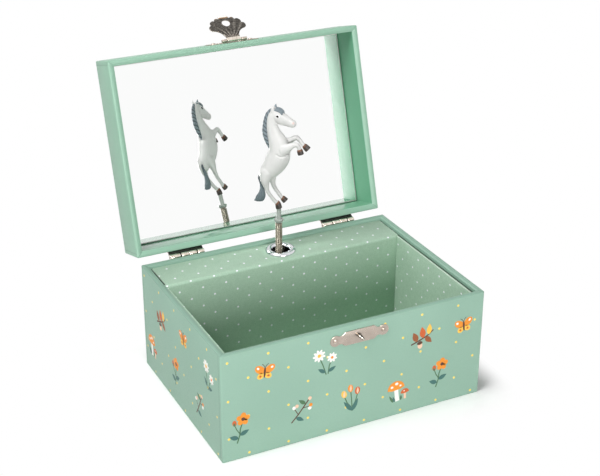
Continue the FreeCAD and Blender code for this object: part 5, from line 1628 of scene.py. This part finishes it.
def scatterTree():
    # motifs on a staggered grid, a little out of place and leaning, with a round patch left clear
    inputs = [("Motifs", "Collection"), ("Width", "Float"), ("Height", "Float"), ("Columns", "Int"),
              ("Rows", "Int"), ("Stagger", "Float"), ("Jitter", "Vector"), ("Clear", "Vector"),
              ("Clear Radius", "Float"), ("Size", "Float"), ("Seed", "Int"), ("Finish", "Material")]
    tree, given = newTree("scattered print", inputs)
    feeds = {"Size X": given["Width"], "Size Y": given["Height"], "Vertices X": given["Columns"],
             "Vertices Y": given["Rows"]}
    grid = addNode(tree, "GeometryNodeMeshGrid", feeds)
    place = addNode(tree, "GeometryNodeInputPosition").outputs[0]
    parts = addNode(tree, "ShaderNodeSeparateXYZ", {0: place})
    share = sums(tree, "DIVIDE", parts.outputs[1], given["Height"])
    steps = sums(tree, "SUBTRACT", given["Rows"], 1.0)
    row = sums(tree, "ROUND", sums(tree, "MULTIPLY", share, steps), 0.0)
    side = sums(tree, "SUBTRACT", sums(tree, "MODULO", sums(tree, "ABSOLUTE", row, 0.0), 2.0), 0.5)
    sideways = sums(tree, "MULTIPLY", side, given["Stagger"])
    shift = addNode(tree, "ShaderNodeCombineXYZ", {0: sideways}).outputs[0]
    least = vectors(tree, "MULTIPLY", given["Jitter"], (-1, -1, -1))
    moved = vectors(tree, "ADD", shift, randomVector(tree, least, given["Jitter"], given["Seed"]))
    feeds = {"Geometry": grid.outputs[0], "Offset": moved}
    spread = addNode(tree, "GeometryNodeSetPosition", feeds).outputs[0]
    away = vectors(tree, "DISTANCE", place, given["Clear"])
    near = sums(tree, "LESS_THAN", away, given["Clear Radius"])
    kept = addNode(tree, "GeometryNodeDeleteGeometry", {"Geometry": spread, "Selection": near}).outputs[0]
    feeds = {"Collection": given["Motifs"], "Separate Children": True, "Reset Children": True}
    shapes = addNode(tree, "GeometryNodeCollectionInfo", feeds)
    number = addNode(tree, "GeometryNodeInputIndex").outputs[0]
    pick = sums(tree, "ADD", sums(tree, "MULTIPLY", number, printPlan["nextMotif"]), given["Seed"])
    lean = randomVector(tree, (0, 0, -printPlan["lean"]), (0, 0, printPlan["lean"]), given["Seed"])
    feeds = {"Points": kept, "Instance": shapes.outputs[0], "Pick Instance": True, "Instance Index": pick,
             "Rotation": lean, "Scale": given["Size"]}
    placed = addNode(tree, "GeometryNodeInstanceOnPoints", feeds)
    return endTree(tree, placed.outputs[0], given["Finish"])


def makePrint():
    motifs = bpy.data.collections.new("motifs")
    drawn = [poppy(), toadstools(), daisies(), butterfly(), oakTwig(), tulips(), berries()]
    pieces = [motifPiece("motif_" + letter, shapes) for letter, shapes in zip("abcdefg", drawn)]
    for piece in pieces:
        scene.collection.objects.unlink(piece)
        motifs.objects.link(piece)
    scene.collection.children.link(motifs)
    middle = boxTop / 2
    upright = Matrix.Rotation(math.pi / 2, 4, "X")
    keyX, keyZ = (jointNamed("key_wind")["pos_m"][k] for k in (0, 2))
    # name, body, columns, rows, width, height, stagger, place, turn, then the clear patch and its radius
    sides = [("front_print", "box", 5, 2, 138, 32, 17, Vector((0, -halfDepth, middle)), 0,
              Vector((1 * mm, 28 * mm, 0)), 21),
             ("left_print", "box", 3, 2, 80, 32, 14, Vector((-halfWidth, 0, middle)), -90,
              Vector((1, 0, 0)), 1),
             ("right_print", "box", 3, 2, 80, 32, 14, Vector((halfWidth, 0, middle)), 90,
              Vector((1, 0, 0)), 1),
             ("back_print", "box", 4, 2, 136, 30, 22, Vector((0, halfDepth, middle - 3 * mm)), 180,
              Vector((-keyX, keyZ - middle, 0)), 20),
             ("lid_print", "lid", 5, 4, 140, 96, 18, Vector((0, 0, lidTop)), None, Vector((1, 0, 0)), 1)]
    tree = scatterTree()
    for index, side in enumerate(sides):
        name, body, columns, rows, width, height, stagger, place, turn, clear, radius = side
        values = {"Motifs": motifs, "Width": width * mm, "Height": height * mm, "Columns": columns,
                  "Rows": rows, "Stagger": stagger * mm, "Jitter": printPlan["jitter"], "Clear": clear,
                  "Clear Radius": radius * mm, "Size": printPlan["size"], "Finish": finishes["printInk"],
                  "Seed": printPlan["seed"] + index}
        piece = grow(name, tree, values)
        if turn is None:
            piece.data.transform(lidOpening @ Matrix.Translation(place))
        else:
            facing = Matrix.Rotation(math.radians(turn), 4, "Z")
            piece.data.transform(Matrix.Translation(place) @ facing @ upright)
        fit(piece, body, "covered_board")
    for piece in pieces:
        dropped(piece)
    bpy.data.collections.remove(motifs)


makePrint()
print("print laid on the paper")


# Hidden movement keeps its CAD form, with a finish for each material

keptPlan = {
    "springSteel": ["mainspring", "comb", "comb_screws", "cylinder_arbor", "winding_arbor", "bridge_screws",
                    "governor_screws", "worm_shaft"],
    "brass": ["pinned_cylinder", "cylinder_pinion", "cylinder_wheel", "spring_barrel", "barrel_cover",
              "governor_wheel", "bridge_pillars"],
    "zincCasting": ["bedplate", "barrel_bridge", "governor_frame"], "nylon": ["fan"],
    "chrome": ["grommet_washer"]}

for finish, nodes in keptPlan.items():
    for node in nodes:
        mesh = frame["nodes"][node].data
        mesh.materials.clear()
        mesh.materials.append(finishes[finish])
print("movement finished")
